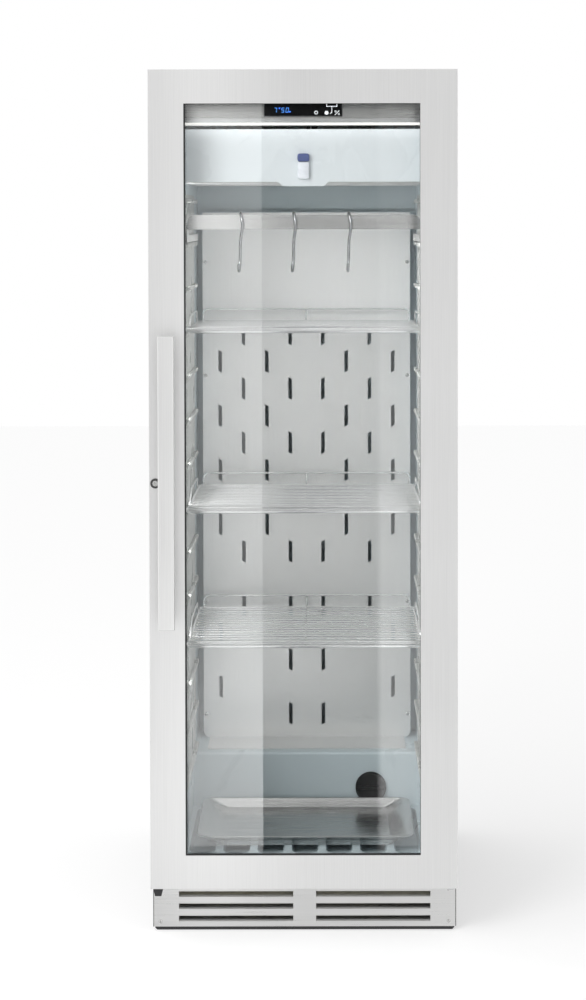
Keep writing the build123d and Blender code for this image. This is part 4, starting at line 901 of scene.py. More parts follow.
def place(piece: bpy.types.Object, body: str, *stands_for: str) -> bpy.types.Object:
    """Sets a finished piece on its body and hides the nodes that it stands for.

    Args:
        piece: the piece.
        body: the body that carries it.
        stands_for: the nodes that it replaces.

    Returns:
        The piece.
    """
    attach(piece, body)
    if stands_for:
        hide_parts(*stands_for)
    LOG.info("placed %s on %s with %d faces", piece.name, body, len(piece.data.polygons))
    return piece


# Geometry Nodes: what repeats


class RepeatTree:
    """A Geometry Nodes tree that sets one unit on many points, with named inputs."""

    def __init__(self, name: str, inputs: dict[str, str]) -> None:
        """Starts the tree.

        Args:
            name: the tree's name.
            inputs: each input's name with its kind.
        """
        self.tree = bpy.data.node_groups.new(name, "GeometryNodeTree")
        face = self.tree.interface
        for key, kind in {**inputs, "Finish": "Material"}.items():
            face.new_socket(key, in_out="INPUT", socket_type=f"NodeSocket{kind}")
        face.new_socket("Pieces", in_out="OUTPUT", socket_type="NodeSocketGeometry")
        self.graph = Graph(self.tree)
        self.given = self.graph.add("NodeGroupInput").outputs

    def end(self, stamped: dict[str, Any], smooth: bool = False) -> None:
        """Ends the tree with the copies, made real and dressed.

        Args:
            stamped: inputs of the node that sets the unit on the points.
            smooth: whether the copies are smooth shaded.
        """
        copies = self.graph.add("GeometryNodeInstanceOnPoints", stamped)
        copies = self.graph.add("GeometryNodeRealizeInstances", {"Geometry": copies.outputs[0]})
        if smooth:
            copies = self.graph.add("GeometryNodeSetShadeSmooth", {"Geometry": copies.outputs[0]})
        dressed = {"Geometry": copies.outputs[0], "Material": self.given["Finish"]}
        copies = self.graph.add("GeometryNodeSetMaterial", dressed)
        self.graph.add("NodeGroupOutput", {0: copies.outputs[0]})

    def run(self, holder: bpy.types.Object, inputs: dict[str, Any]) -> None:
        """Runs the tree on an object and keeps the result as its plain mesh.

        Args:
            holder: the object.
            inputs: values for the tree's inputs.
        """
        repeat = holder.modifiers.new("repeat", "NODES")
        repeat.node_group = self.tree
        for item in self.tree.interface.items_tree:
            if item.item_type == "SOCKET" and item.name in inputs:
                repeat[item.identifier] = inputs[item.name]
        applied(holder)


class StampTree(RepeatTree):
    """Stamps one unit on every point of a mesh, each turned about an axis in depth by chance."""

    def __init__(self) -> None:
        """Builds the tree."""
        super().__init__("stamped units", {"Points": "Geometry", "Unit": "Object", "Most Turn": "Float"})
        given, graph = self.given, self.graph
        unit = graph.add("GeometryNodeObjectInfo", {"Object": given["Unit"]}, transform_space="ORIGINAL")
        chance = graph.add(
            "FunctionNodeRandomValue", {2: 0.0, 3: given["Most Turn"], "Seed": 7}, data_type="FLOAT")
        turn = graph.add(
            "FunctionNodeAxisAngleToRotation", {"Axis": (0.0, 1.0, 0.0), "Angle": chance.outputs[1]})
        self.end({
            "Points": given["Points"], "Instance": unit.outputs["Geometry"], "Rotation": turn.outputs[0],
        })

    def stamp(
        self, name: str, unit: bpy.types.Mesh, places: Sequence[Point], finish: Finish,
        most_turn: float = 0.0, smooth: bool = True,
    ) -> bpy.types.Object:
        """Stamps a unit on points.

        Args:
            name: the piece's name.
            unit: the unit's mesh about its own origin, which is removed.
            places: the points.
            finish: the piece's finish.
            most_turn: the largest turn in radians.
            smooth: whether the unit is smooth shaded.

        Returns:
            The piece, as a plain mesh.
        """
        points = bpy.data.meshes.new(name)
        points.from_pydata([tuple(point) for point in places], [], [])
        piece = added(name, points)
        for polygon in unit.polygons:
            polygon.use_smooth = smooth
        stencil = added(f"{name}_unit", unit)
        self.run(piece, {"Unit": stencil, "Most Turn": most_turn, "Finish": PALETTE.get(finish)})
        bpy.data.meshes.remove(freed_mesh(stencil))
        return piece


class BarTree(RepeatTree):
    """Lays equal round bars at an even pitch."""

    def __init__(self) -> None:
        """Builds the tree."""
        super().__init__(
            "even bars",
            {"Count": "Int", "First": "Vector", "Step": "Vector", "Reach": "Vector", "Radius": "Float"},
        )
        given, graph = self.given, self.graph
        line = graph.add(
            "GeometryNodeMeshLine",
            {"Count": given["Count"], "Start Location": given["First"], "Offset": given["Step"]},
        )
        axis = graph.add("GeometryNodeCurvePrimitiveLine", {"End": given["Reach"]})
        ring = graph.add("GeometryNodeCurvePrimitiveCircle", {"Resolution": 12, "Radius": given["Radius"]})
        bar = graph.add(
            "GeometryNodeCurveToMesh",
            {"Curve": axis.outputs[0], "Profile Curve": ring.outputs[0], "Fill Caps": True},
        )
        self.end({"Points": line.outputs[0], "Instance": bar.outputs[0]}, smooth=True)

    def lay(
        self, name: str, count: int, first: Point, step: Point, reach: Point, radius: float, finish: Finish,
    ) -> bpy.types.Mesh:
        """Lays the bars.

        Args:
            name: the mesh's name.
            count: how many bars.
            first: where the first bar starts.
            step: from one bar to the next.
            reach: from a bar's start to its end.
            radius: the bars' radius.
            finish: the bars' finish.

        Returns:
            The bars' mesh.
        """
        holder = added(name, bpy.data.meshes.new(name))
        self.run(holder, {
            "Count": count, "First": first, "Step": step, "Reach": reach, "Radius": radius,
            "Finish": PALETTE.get(finish),
        })
        return freed_mesh(holder)


STAMPS = StampTree()
BARS = BarTree()

# Sub-assemblies


@dataclass
class CabinetCase(Dressing):
    """The black case, its base, back and feet, and the foam inside."""

    finishes: Finishes = (
        (PALETTE.case_paint, ("side_panel_left", "side_panel_right", "top_panel", "base_tray")),
        (PALETTE.zinc, ("back_panel", "rear_cover", "lock_keeper")),
        (PALETTE.zinc, ("hinge_bracket_top", "hinge_bracket_bottom")),
        (PALETTE.black, ("foot_front_left", "foot_front_right", "foot_rear_left", "foot_rear_right")),
        (PALETTE.foam, ("insulation_foam",)),
        (PALETTE.fixing, ("hinge_pins",)),
    )


@dataclass
class Interior(Dressing):
    """The liner, its runners and the slotted back panel."""

    finishes: Finishes = (
        (PALETTE.liner, ("inner_liner",)), (PALETTE.duct_steel, ("duct_panel",)),
    )
    rib_count: int = 14
    rib_pitch: float = 90 * MM
    rib_height: float = 9 * MM
    plate_thickness: float = 3 * MM
    edge: float = 1.2 * MM
    margin: float = 8 * MM

    def build(self) -> None:
        """Dresses the liner and the back panel, and makes the runners."""
        super().build()
        self.runner("runner_left", 1.0)
        self.runner("runner_right", -1.0)

    def runner(self, node: str, inward: float) -> None:
        """Makes one side's plate with its row of rounded ribs.

        Args:
            node: the node that it stands for.
            inward: the sign of the direction into the cabinet.
        """
        low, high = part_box(node)
        wall_x = low.x if inward > 0 else high.x
        left_x, right_x = sorted((wall_x, wall_x + inward * self.plate_thickness))
        sheet = boxes_mesh(node, ((left_x, low.y, low.z), (right_x, high.y, high.z)))
        plate = piece_from_mesh(f"{node}_plate", sheet, PALETTE.runner, smooth=False)
        bevelled(plate, self.edge)
        half = Vector((high.x - low.x, high.y - low.y, self.rib_height)) / 2
        rib = piece_from_mesh(f"{node}_rib", boxes_mesh(node, (-half, half)), PALETTE.runner, smooth=False)
        bevelled(rib, self.rib_height / 3, segments=3)
        first_z = high.z - self.margin - self.rib_pitch * (self.rib_count - 1) - self.rib_height / 2
        middle = (low + high) / 2
        places = [(middle.x, middle.y, first_z + self.rib_pitch * number) for number in range(self.rib_count)]
        ribs = STAMPS.stamp(f"{node}_ribs", freed_mesh(rib), places, PALETTE.runner)
        place(plate, "cabinet", node)
        place(ribs, "cabinet")


@dataclass
class Screws:
    """The cross-slotted screws of the kick plate and the back panel."""

    head_radius: float = 4.0 * MM
    head_height: float = 1.6 * MM
    dome: tuple[Pair, ...] = ((1.0, 0.0), (1.0, 0.35), (0.93, 0.7), (0.75, 0.93), (0.5, 1.0))
    head_sides: int = 24
    slot_width: float = 1.0 * MM
    slot_depth: float = 0.9 * MM
    slot_reach: float = 0.55
    kick_x: float = 283.0 * MM
    kick_z: Pair = (18.0 * MM, 82.0 * MM)
    panel_x: float = 222.2 * MM
    panel_first_z: float = 303.0 * MM
    panel_pitch: float = 250.0 * MM
    panel_count: int = 5
    search_margin: float = 5.0 * MM

    def head(self) -> bpy.types.Mesh:
        """A domed head about the middle of its back face, with a cross recess.

        Returns:
            The head's mesh.
        """
        radius, height = self.head_radius, self.head_height
        profile = [(0.01 * SPECK, 0.0), *[(radius * across, -height * out) for across, out in self.dome]]
        dome = turned_form("screw_head", profile, (0, 0, 0), self.head_sides)
        long, short = radius * self.slot_reach, self.slot_width / 2
        cross = boxes_mesh("cross", *[
            ((-half_x, -height - MM, -half_z), (half_x, self.slot_depth - height, half_z))
            for half_x, half_z in ((long, short), (short, long))
        ])
        head = piece_from_mesh("screw_head", dome, PALETTE.fixing)
        cutter = piece_from_mesh("cross", cross, PALETTE.fixing)
        cut = head.modifiers.new("cross", "BOOLEAN")
        cut.object = cutter
        cut.use_self = True
        applied(head)
        bpy.data.objects.remove(cutter)
        return freed_mesh(head)

    def build(self) -> None:
        """Stamps every screw, each turned a little differently."""
        kick_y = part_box("panel_screws")[0].y
        reach = self.panel_x + self.search_margin
        panel_y = min(v.co.y for v in NODES["panel_screws"].data.vertices if abs(v.co.x) < reach)
        panel_z = [self.panel_first_z + self.panel_pitch * row for row in range(self.panel_count)]
        places = [
            (side * x, y + self.head_height, z)
            for x, y, heights in ((self.kick_x, kick_y, self.kick_z), (self.panel_x, panel_y, panel_z))
            for side in (-1, 1) for z in heights
        ]
        screws = STAMPS.stamp(
            "screw_heads", self.head(), places, PALETTE.fixing, most_turn=math.pi / 2, smooth=False)
        place(screws, "cabinet", "panel_screws")


@dataclass
class CoolingUnit(Dressing):
    """The evaporator, its fan, the cover with its perforated floor, the clips and the air sensor."""

    finishes: Finishes = (
        (PALETTE.fins, ("evaporator_coil",)), (PALETTE.black, ("evaporator_fan",)),
        (PALETTE.holder_steel, ("evaporator_fan_holder",)), (PALETTE.cover, ("cover_clips",)),
    )
    wall: float = 2.0 * MM
    tab_half: float = 50.0 * MM
    tab_taper: float = 10.0 * MM
    cell: float = 8.0 * MM
    hole: float = 2.1 * MM
    hole_sides: int = 8
    hole_columns: int = 56
    hole_rows: int = 9
    strip_setback: float = 14.0 * MM
    edge: float = 0.6 * MM
    cap_height: float = 16.0 * MM
    cap_gap: float = 0.3 * MM
    body_inset: float = 0.6 * MM
    sensor_corner: float = 4.5 * MM
    sensor_front: tuple[Pair, ...] = ((3.0 * MM, 0.0), (0.8 * MM, 0.05), (0.0, 0.16))
    sensor_edge: float = 0.4 * MM

    def build(self) -> None:
        """Dresses the hidden parts and makes the cover and the sensor."""
        super().build()
        self.cover_front()
        self.cover_floor()
        self.sensor()

    def cover_front(self) -> None:
        """Makes the upright front sheet with its tab."""
        low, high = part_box("evaporator_cover")
        floor_z = self.floor_z()
        tab_foot = self.tab_half - self.tab_taper
        outline = [
            (low.x, floor_z), (-self.tab_half, floor_z), (-tab_foot, low.z), (tab_foot, low.z),
            (self.tab_half, floor_z), (high.x, floor_z), (high.x, high.z), (low.x, high.z),
        ]
        sheet = sheet_mesh("cover_front", outline, (low.y, low.y + self.wall))
        front = piece_from_mesh("cover_front", sheet, PALETTE.cover, smooth=False)
        bevelled(front, self.edge)
        place(front, "cabinet", "evaporator_cover")

    def floor_z(self) -> float:
        """The height of the cover's floor, read from its back edge."""
        back_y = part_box("evaporator_cover")[1].y - MM
        return min(v.co.z for v in NODES["evaporator_cover"].data.vertices if v.co.y > back_y)

    def cell_mesh(self) -> bpy.types.Mesh:
        """One square of perforated sheet with a round hole, about its own middle.

        Returns:
            The cell's mesh, open at its four edges.
        """
        bm = bmesh.new()
        half, sides = self.cell / 2, self.hole_sides
        square = ((1, 0), (1, 1), (0, 1), (-1, 1), (-1, 0), (-1, -1), (0, -1), (1, -1))
        outer = [(half * x, half * y) for x, y in square]
        angles = [2 * math.pi * side / sides for side in range(sides)]
        inner = [(self.hole * math.cos(angle), self.hole * math.sin(angle)) for angle in angles]
        low_rim, low_bore, rim, bore = (
            [bm.verts.new((x, y, z)) for x, y in points]
            for z in (0.0, self.wall) for points in (outer, inner)
        )
        for side in range(sides):
            after = (side + 1) % sides
            bm.faces.new((low_bore[side], low_bore[after], low_rim[after], low_rim[side]))
            bm.faces.new((rim[side], rim[after], bore[after], bore[side]))
            bm.faces.new((bore[side], bore[after], low_bore[after], low_bore[side]))
        return finished_mesh("perforated_cell", bm, recalculate=False)

    def cover_floor(self) -> None:
        """Makes the cover's floor: a perforated strip between plain margins."""
        low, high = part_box("evaporator_cover")
        floor_z = self.floor_z()
        strip_half = self.hole_columns * self.cell / 2
        strip_low = low.y + self.strip_setback
        strip_high = strip_low + self.hole_rows * self.cell
        places = [
            ((column + 0.5) * self.cell - strip_half, strip_low + (row + 0.5) * self.cell, floor_z)
            for column in range(self.hole_columns) for row in range(self.hole_rows)
        ]
        strip = STAMPS.stamp(
            "cover_perforation", self.cell_mesh(), places, PALETTE.holder_steel, smooth=False)
        bm = bmesh.new()
        bm.from_mesh(strip.data)
        bmesh.ops.remove_doubles(bm, verts=bm.verts[:], dist=SPECK)
        for corner, opposite in (
            ((low.x, low.y + self.wall), (high.x, strip_low)), ((low.x, strip_high), (high.x, high.y)),
            ((low.x, strip_low), (-strip_half, strip_high)), ((strip_half, strip_low), (high.x, strip_high)),
        ):
            box_into(bm, (*corner, floor_z), (*opposite, floor_z + self.wall))
        bm.to_mesh(strip.data)
        bm.free()
        place(strip, "cabinet")

    def sensor(self) -> None:
        """Makes the upright capsule: a white body below a blue cap."""
        low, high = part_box("air_sensor")
        split = high.z - self.cap_height
        middle_x, half_x = (low.x + high.x) / 2, (high.x - low.x) / 2
        levels = [(high.y, 0.0), *[(low.y + depth, shrink) for depth, shrink in self.sensor_front]]
        body_top = split - self.cap_gap
        for name, bottom, top, inset, finish, stands_for in (
            ("sensor_body", low.z, body_top, self.body_inset, PALETTE.sensor_white, ("air_sensor",)),
            ("sensor_cap", split, high.z, 0.0, PALETTE.sensor_blue, ()),
        ):
            loop = rounded_loop(half_x - inset, (top - bottom) / 2, self.sensor_corner - inset, 5)
            middle_z = (bottom + top) / 2
            rings = [
                [(middle_x + x * (1 - shrink), y, middle_z + z * (1 - shrink)) for x, z in loop]
                for y, shrink in levels
            ]
            part = piece_from_mesh(name, loop_stack(name, rings), finish)
            bevelled(part, self.sensor_edge)
            place(part, "cabinet", *stands_for)


class Segment(Enum):
    """The seven bars of a digit, as low and high corners in shares of its width and height."""

    TOP = ((0.1, 0.9), (0.9, 1.0))
    MIDDLE = ((0.1, 0.45), (0.9, 0.55))
    BOTTOM = ((0.1, 0.0), (0.9, 0.1))
    UPPER_LEFT = ((0.0, 0.54), (0.16, 0.96))
    UPPER_RIGHT = ((0.84, 0.54), (1.0, 0.96))
    LOWER_LEFT = ((0.0, 0.04), (0.16, 0.46))
    LOWER_RIGHT = ((0.84, 0.04), (1.0, 0.46))


SIDES = (Segment.UPPER_LEFT, Segment.UPPER_RIGHT, Segment.LOWER_LEFT, Segment.LOWER_RIGHT)
DIGIT_BARS = {
    "0": (Segment.TOP, Segment.BOTTOM, *SIDES),
    "5": (Segment.TOP, Segment.UPPER_LEFT, Segment.MIDDLE, Segment.LOWER_RIGHT, Segment.BOTTOM),
    "7": (Segment.TOP, Segment.UPPER_RIGHT, Segment.LOWER_RIGHT),
}


@dataclass
class ControlStrip(Dressing):
    """The steel strip with its black window and signs, and the lamp below it.

    Dials are rings as across, up, outer and inner radius. Strokes run from across and up to across and up.
    """

    finishes: Finishes = (
        (PALETTE.fascia_steel, ("control_fascia",)), (PALETTE.profile, ("light_profile",)),
    )
    rim: float = 1.6 * MM
    rim_corner: float = 1.8 * MM
    least_corner: float = 0.2 * MM
    rim_section: tuple[Pair, ...] = ((0.0, 4.0), (0.0, -0.2), (0.35, -0.6), (0.8, -0.2), (1.0, 4.0))
    window_edge: float = 0.3 * MM
    digit_height: float = 9.2 * MM
    digit_width: float = 5.5 * MM
    digit_base_z: float = 1605.7 * MM
    digit_starts: tuple[tuple[str, float], ...] = (("7", -57.5 * MM), ("5", -43.0 * MM), ("0", -34.4 * MM))
    slant: float = 0.14
    degree_x: float = -48.2 * MM
    degree: tuple[float, float, float] = (0.78, 0.36, 0.26)
    unit_gap: float = 1.35
    unit: tuple[float, float, float] = (0.0, 0.4, 0.28)
    square_line: Pair = (0.1, 0.08)
    dials: tuple[tuple[float, ...], ...] = (
        (25.4, 1605.4, 3.6, 2.3), (45.7, 1604.8, 3.8, 0.01), (63.2, 1607.6, 1.9, 1.0),
        (69.6, 1602.6, 1.9, 1.0))
    dial_sides: int = 28
    strokes: tuple[tuple[float, ...], ...] = (
        (46.0, 1617.4, 66.0, 1617.4), (46.0, 1617.4, 46.0, 1622.0), (66.0, 1617.4, 66.0, 1622.0),
        (56.0, 1617.4, 56.0, 1605.6), (56.0, 1605.6, 52.6, 1603.2), (62.4, 1601.2, 70.4, 1609.2))
    stroke_width: float = 1.1 * MM
    lift: float = 0.25 * MM
    sign_depth: float = 0.375 * MM
    lamp_steps: int = 8

    def build(self) -> None:
        """Dresses the strip and makes the window, its signs and the lamp."""
        super().build()
        self.window()
        self.digits()
        self.signs()
        self.lamp()

    def window(self) -> None:
        """Makes the black window and the thin rim round it."""
        low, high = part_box("display_panel")
        margin = Vector((self.rim, 0.0, self.rim))
        pane = boxes_mesh("display_window", (low + margin, high - margin))
        window = piece_from_mesh("display_window", pane, PALETTE.display, smooth=False)
        bevelled(window, self.window_edge)
        place(window, "cabinet", "display_panel")
        middle, half = (low + high) / 2, (high - low) / 2
        rings = []
        for share, depth in self.rim_section:
            inset = self.rim * share
            corner = max(self.rim_corner - inset, self.least_corner)
            loop = rounded_loop(half.x - inset, half.z - inset, corner, 3)
            rings.append([(middle.x + x, low.y + depth * MM, middle.z + z) for x, z in loop])
        rings.append(rings[0])
        rim = piece_from_mesh("display_rim", loop_stack("display_rim", rings, capped=False), PALETTE.bezel)
        place(rim, "cabinet")

    def front_y(self) -> float:
        """The depth of the signs' front faces."""
        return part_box("display_panel")[0].y - self.lift

    def bar(self, left: float, low: Pair, high: Pair) -> bpy.types.Mesh:
        """One slanted bar of a digit.

        Args:
            left: the digit's left edge.
            low: the bar's low corner, in shares of the digit's width and height.
            high: its high corner.

        Returns:
            The bar's mesh.
        """
        corners = [
            (left + across * self.digit_width + up * self.digit_height * self.slant,
             self.digit_base_z + up * self.digit_height)
            for across, up in (low, (high[0], low[1]), high, (low[0], high[1]))
        ]
        return sheet_mesh("bar", corners, (self.front_y(), self.front_y() + self.sign_depth))

    def square(self, left: float, base: float, width: float, height: float) -> list[bpy.types.Mesh]:
        """A small square ring of four bars.

        Args:
            left: its left edge.
            base: its foot, in shares of a digit's height.
            width: its width, in shares of a digit's width.
            height: its height, in shares of a digit's height.

        Returns:
            The bars' meshes.
        """
        upright, level = self.square_line
        top = base + height
        return [self.bar(left, low, high) for low, high in (
            ((0.0, base), (width, base + level)), ((0.0, top - level), (width, top)),
            ((0.0, base), (upright, top)), ((width - upright, base), (width, top)),
        )]

    def digits(self) -> None:
        """Makes the lit digits and the small rings of their unit."""
        bars = [
            self.bar(left, *segment.value)
            for digit, left in self.digit_starts for segment in DIGIT_BARS[digit]
        ]
        bars += self.square(self.degree_x, *self.degree)
        bars += self.square(self.digit_starts[-1][1] + self.digit_width * self.unit_gap, *self.unit)
        lit = piece_from_mesh("display_digits", joined("display_digits", bars), PALETTE.digit, smooth=False)
        place(lit, "cabinet")

    def signs(self) -> None:
        """Makes the touch signs: a ring, a dot, a lamp bracket and two small rings with a stroke."""
        meshes = []
        for x, z, outer, inner in self.dials:
            outer, inner = outer * MM, inner * MM
            profile = [
                (inner, 0.0), (outer, 0.0), (outer, self.sign_depth), (inner, self.sign_depth), (inner, 0.0)]
            centre = (x * MM, self.front_y(), z * MM)
            meshes.append(turned_form("ring", profile, centre, self.dial_sides, capped=False))
        deep = Vector((0.0, self.sign_depth, 0.0))
        for start_x, start_z, end_x, end_z in self.strokes:
            start = Vector((start_x * MM, self.front_y(), start_z * MM))
            end = Vector((end_x * MM, self.front_y(), end_z * MM))
            along = (end - start).normalized() * self.stroke_width / 2
            side = Vector((-along.z, 0.0, along.x))
            start, end = start - along, end + along
            ring = [start - side, end - side, end + side, start + side]
            meshes.append(loop_stack("stroke", [ring, [point + deep for point in ring]]))
        signs = piece_from_mesh("display_signs", joined("display_signs", meshes), PALETTE.sign, smooth=False)
        place(signs, "cabinet")

    def lamp(self) -> None:
        """Makes the lit diffuser in the profile's slot."""
        low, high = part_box("light_diffuser")
        middle_z, half_z = (low.z + high.z) / 2, (high.z - low.z) / 2
        angles = [math.pi * step / self.lamp_steps for step in range(self.lamp_steps + 1)]
        section = [
            (low.y + half_z * (1 - math.sin(angle)), middle_z + half_z * math.cos(angle)) for angle in angles
        ]
        section += [(high.y, low.z), (high.y, high.z)]
        strip = loop_stack("lamp_strip", [[(x, y, z) for y, z in section] for x in (low.x, high.x)])
        place(piece_from_mesh("lamp_strip", strip, PALETTE.lamp, smooth=False), "cabinet", "light_diffuser")


@dataclass
class HangingRail:
    """The folded bar across the inside, its two arms and the three hooks on it."""

    sheet: float = 2.0 * MM
    corner: float = 16.0 * MM
    bar_height: float = 29.0 * MM
    arm_height: float = 16.0 * MM
    arm_foot: float = 6.5 * MM
    edge: float = 0.45 * MM
    wire: float = 3.0 * MM
    corner_steps: int = 8
    hook_places: tuple[tuple[str, float], ...] = (
        ("left", -125 * MM), ("middle", -20 * MM), ("right", 89 * MM))
    hook_route: tuple[tuple[float, float, float], ...] = (
        (0.0, -9.0, 14.0), (0.0, -7.0, 4.0), (0.0, 0.0, 0.0), (1.5, 7.5, 4.0), (3.5, 11.0, 14.0),
        (4.5, 11.5, 26.0), (2.5, 9.0, 42.0), (0.5, 8.0, 56.0), (0.0, 8.0, 80.0), (-0.5, 8.0, 96.0),
        (-1.5, 11.0, 108.0), (-2.0, 18.0, 114.0), (-2.0, 26.0, 110.0), (-2.0, 29.0, 101.0),
    )

    def build(self) -> None:
        """Makes the rail and the hooks."""
        self.rail()
        for hook, hook_x in self.hook_places:
            self.hook(hook, hook_x)

    def rail(self) -> None:
        """Makes the bar with its folded lower edge and an arm at each end."""
        low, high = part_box("hanger_rail")
        bar_low = high.z - self.bar_height
        bar_half = high.x - self.arm_foot
        arch = rounded_loop(bar_half, self.bar_height, self.corner, self.corner_steps)
        arch = sorted((point for point in arch if point[1] > 0), key=lambda point: -point[0])
        outline = [(bar_half, bar_low), *[(x, bar_low + z) for x, z in arch], (-bar_half, bar_low)]
        meshes = [sheet_mesh("rail_bar", outline, (low.y, low.y + self.sheet))]
        arm_top, arm_neck = low.z + self.arm_height, high.z - self.corner
        arm = [
            (low.y, low.z), (high.y, low.z), (high.y, arm_top), (low.y + self.arm_height * 2, arm_top),
            (low.y + self.sheet, arm_neck), (low.y, arm_neck),
        ]
        for side in (-1, 1):
            outer, inner = side * bar_half, side * (bar_half - self.sheet)
            meshes.append(loop_stack("rail_arm", [[(x, y, z) for y, z in arm] for x in (outer, inner)]))
            left_x, right_x = sorted((inner, side * high.x))
            foot = ((left_x, low.y, low.z), (right_x, high.y, low.z + self.sheet))
            meshes.append(boxes_mesh("rail_foot", foot))
        fold_half, thin = bar_half - self.corner, self.sheet / 2
        fold = ((-fold_half, low.y + thin, bar_low), (fold_half, low.y + self.sheet, bar_low + thin))
        meshes.append(boxes_mesh("rail_fold", fold))
        rail = piece_from_mesh("rail", joined("rail", meshes), PALETTE.rail_steel, smooth=False)
        bevelled(rail, self.edge)
        place(rail, "hanger", "hanger_rail")

    def hook(self, side: str, hook_x: float) -> None:
        """Makes one hook of bent wire.

        Args:
            side: which of the hooks.
            hook_x: its place along the bar.
        """
        node = f"s_hook_{side}"
        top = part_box(node)[1].z - self.wire
        bar_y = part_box("hanger_rail")[0].y + self.sheet / 2
        path = smooth_path([
            Vector((hook_x + along * MM, bar_y - ahead * MM, top - below * MM))
            for along, ahead, below in self.hook_route
        ])
        wire = wire_mesh(node, [path], self.wire, roundness=4)
        place(piece_from_mesh(f"hook_{side}", wire, PALETTE.hook_wire), f"hook_{side}", node)


@dataclass
class WireShelves:
    """The three wire shelves, each a deck of wires with guards round it."""

    rod: float = 3.0 * MM
    wire: float = 1.8 * MM
    guard_wire: float = 2.2 * MM
    wire_count: int = 16
    rod_x: float = 236.0 * MM
    rear_inset: float = 10.0 * MM
    front_y: float = -179.0 * MM
    depth: float = 386.0 * MM
    cross_drop: float = 1.5 * MM
    side_feet: tuple[float, float] = (0.23, 0.85)
    side_tops: tuple[float, float] = (0.36, 0.8)
    side_top: float = 26.5 * MM
    rear_top: float = 27.3 * MM
    front_top: float = 9.5 * MM
    corner: float = 12.0 * MM
    guard_bend: float = 7.0 * MM
    front_bend: float = 4.0 * MM
    weld: float = 0.6 * MM

    def build(self) -> None:
        """Makes the shelves from one form."""
        form = self.form()
        for level in ("low", "middle", "high"):
            node = f"shelf_{level}"
            axis_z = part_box(node)[0].z + max(self.rod, self.wire + self.cross_drop)
            shelf = form.copy()
            shelf.transform(Matrix.Translation((0, 0, axis_z)))
            place(piece_from_mesh(f"wires_{level}", shelf, PALETTE.wire), f"wire_shelf_{level}", node)

    def form(self) -> bpy.types.Mesh:
        """One shelf, with its rods' axes at height zero.

        Returns:
            The shelf's mesh.
        """
        half, front_y, back_y = self.rod_x, self.front_y, self.front_y + self.depth
        middle = (0, front_y, 0)
        rim = wire_mesh("shelf_rim", [self.bent(
            self.rod, middle, (-half, front_y, 0), (-half, back_y, 0), (half, back_y, 0), (half, front_y, 0),
            middle,
        )], self.rod)
        pitch = self.depth / (self.wire_count + 1)
        deck = BARS.lay(
            "shelf_deck", self.wire_count, (-half, front_y + pitch, self.weld), (0, pitch, 0),
            (half * 2, 0, 0), self.wire, PALETTE.wire,
        )
        spine = wire_mesh("shelf_spine", [
            [Vector((0, front_y, -self.cross_drop)), Vector((0, back_y, -self.cross_drop))],
            [Vector((0, back_y, 0)), Vector((0, back_y, self.rear_top))],
        ], self.wire)
        guards = [self.arch(half - self.rear_inset, back_y, self.rear_top, self.corner)]
        feet, tops = (
            [front_y + self.depth * share for share in shares] for shares in (self.side_feet, self.side_tops))
        for x in (-half, half):
            guards.append(self.bent(
                self.guard_bend, (x, feet[0], self.weld), (x, tops[0], self.side_top),
                (x, tops[1], self.side_top), (x, feet[1], self.weld),
            ))
        guards.append(self.arch(half, front_y, self.front_top, self.front_bend))
        return joined("shelf_form", [rim, deck, spine, wire_mesh("shelf_guards", guards, self.guard_wire)])

    def bent(self, bend: float, *corners: Point) -> list[Vector]:
        """The path of a wire that is bent at its corners."""
        return bent_path([Vector(corner) for corner in corners], bend)

    def arch(self, half: float, y: float, top: float, bend: float) -> list[Vector]:
        """The path of a guard that stands across the shelf."""
        return self.bent(bend, (-half, y, 0), (-half, y, top), (half, y, top), (half, y, 0))


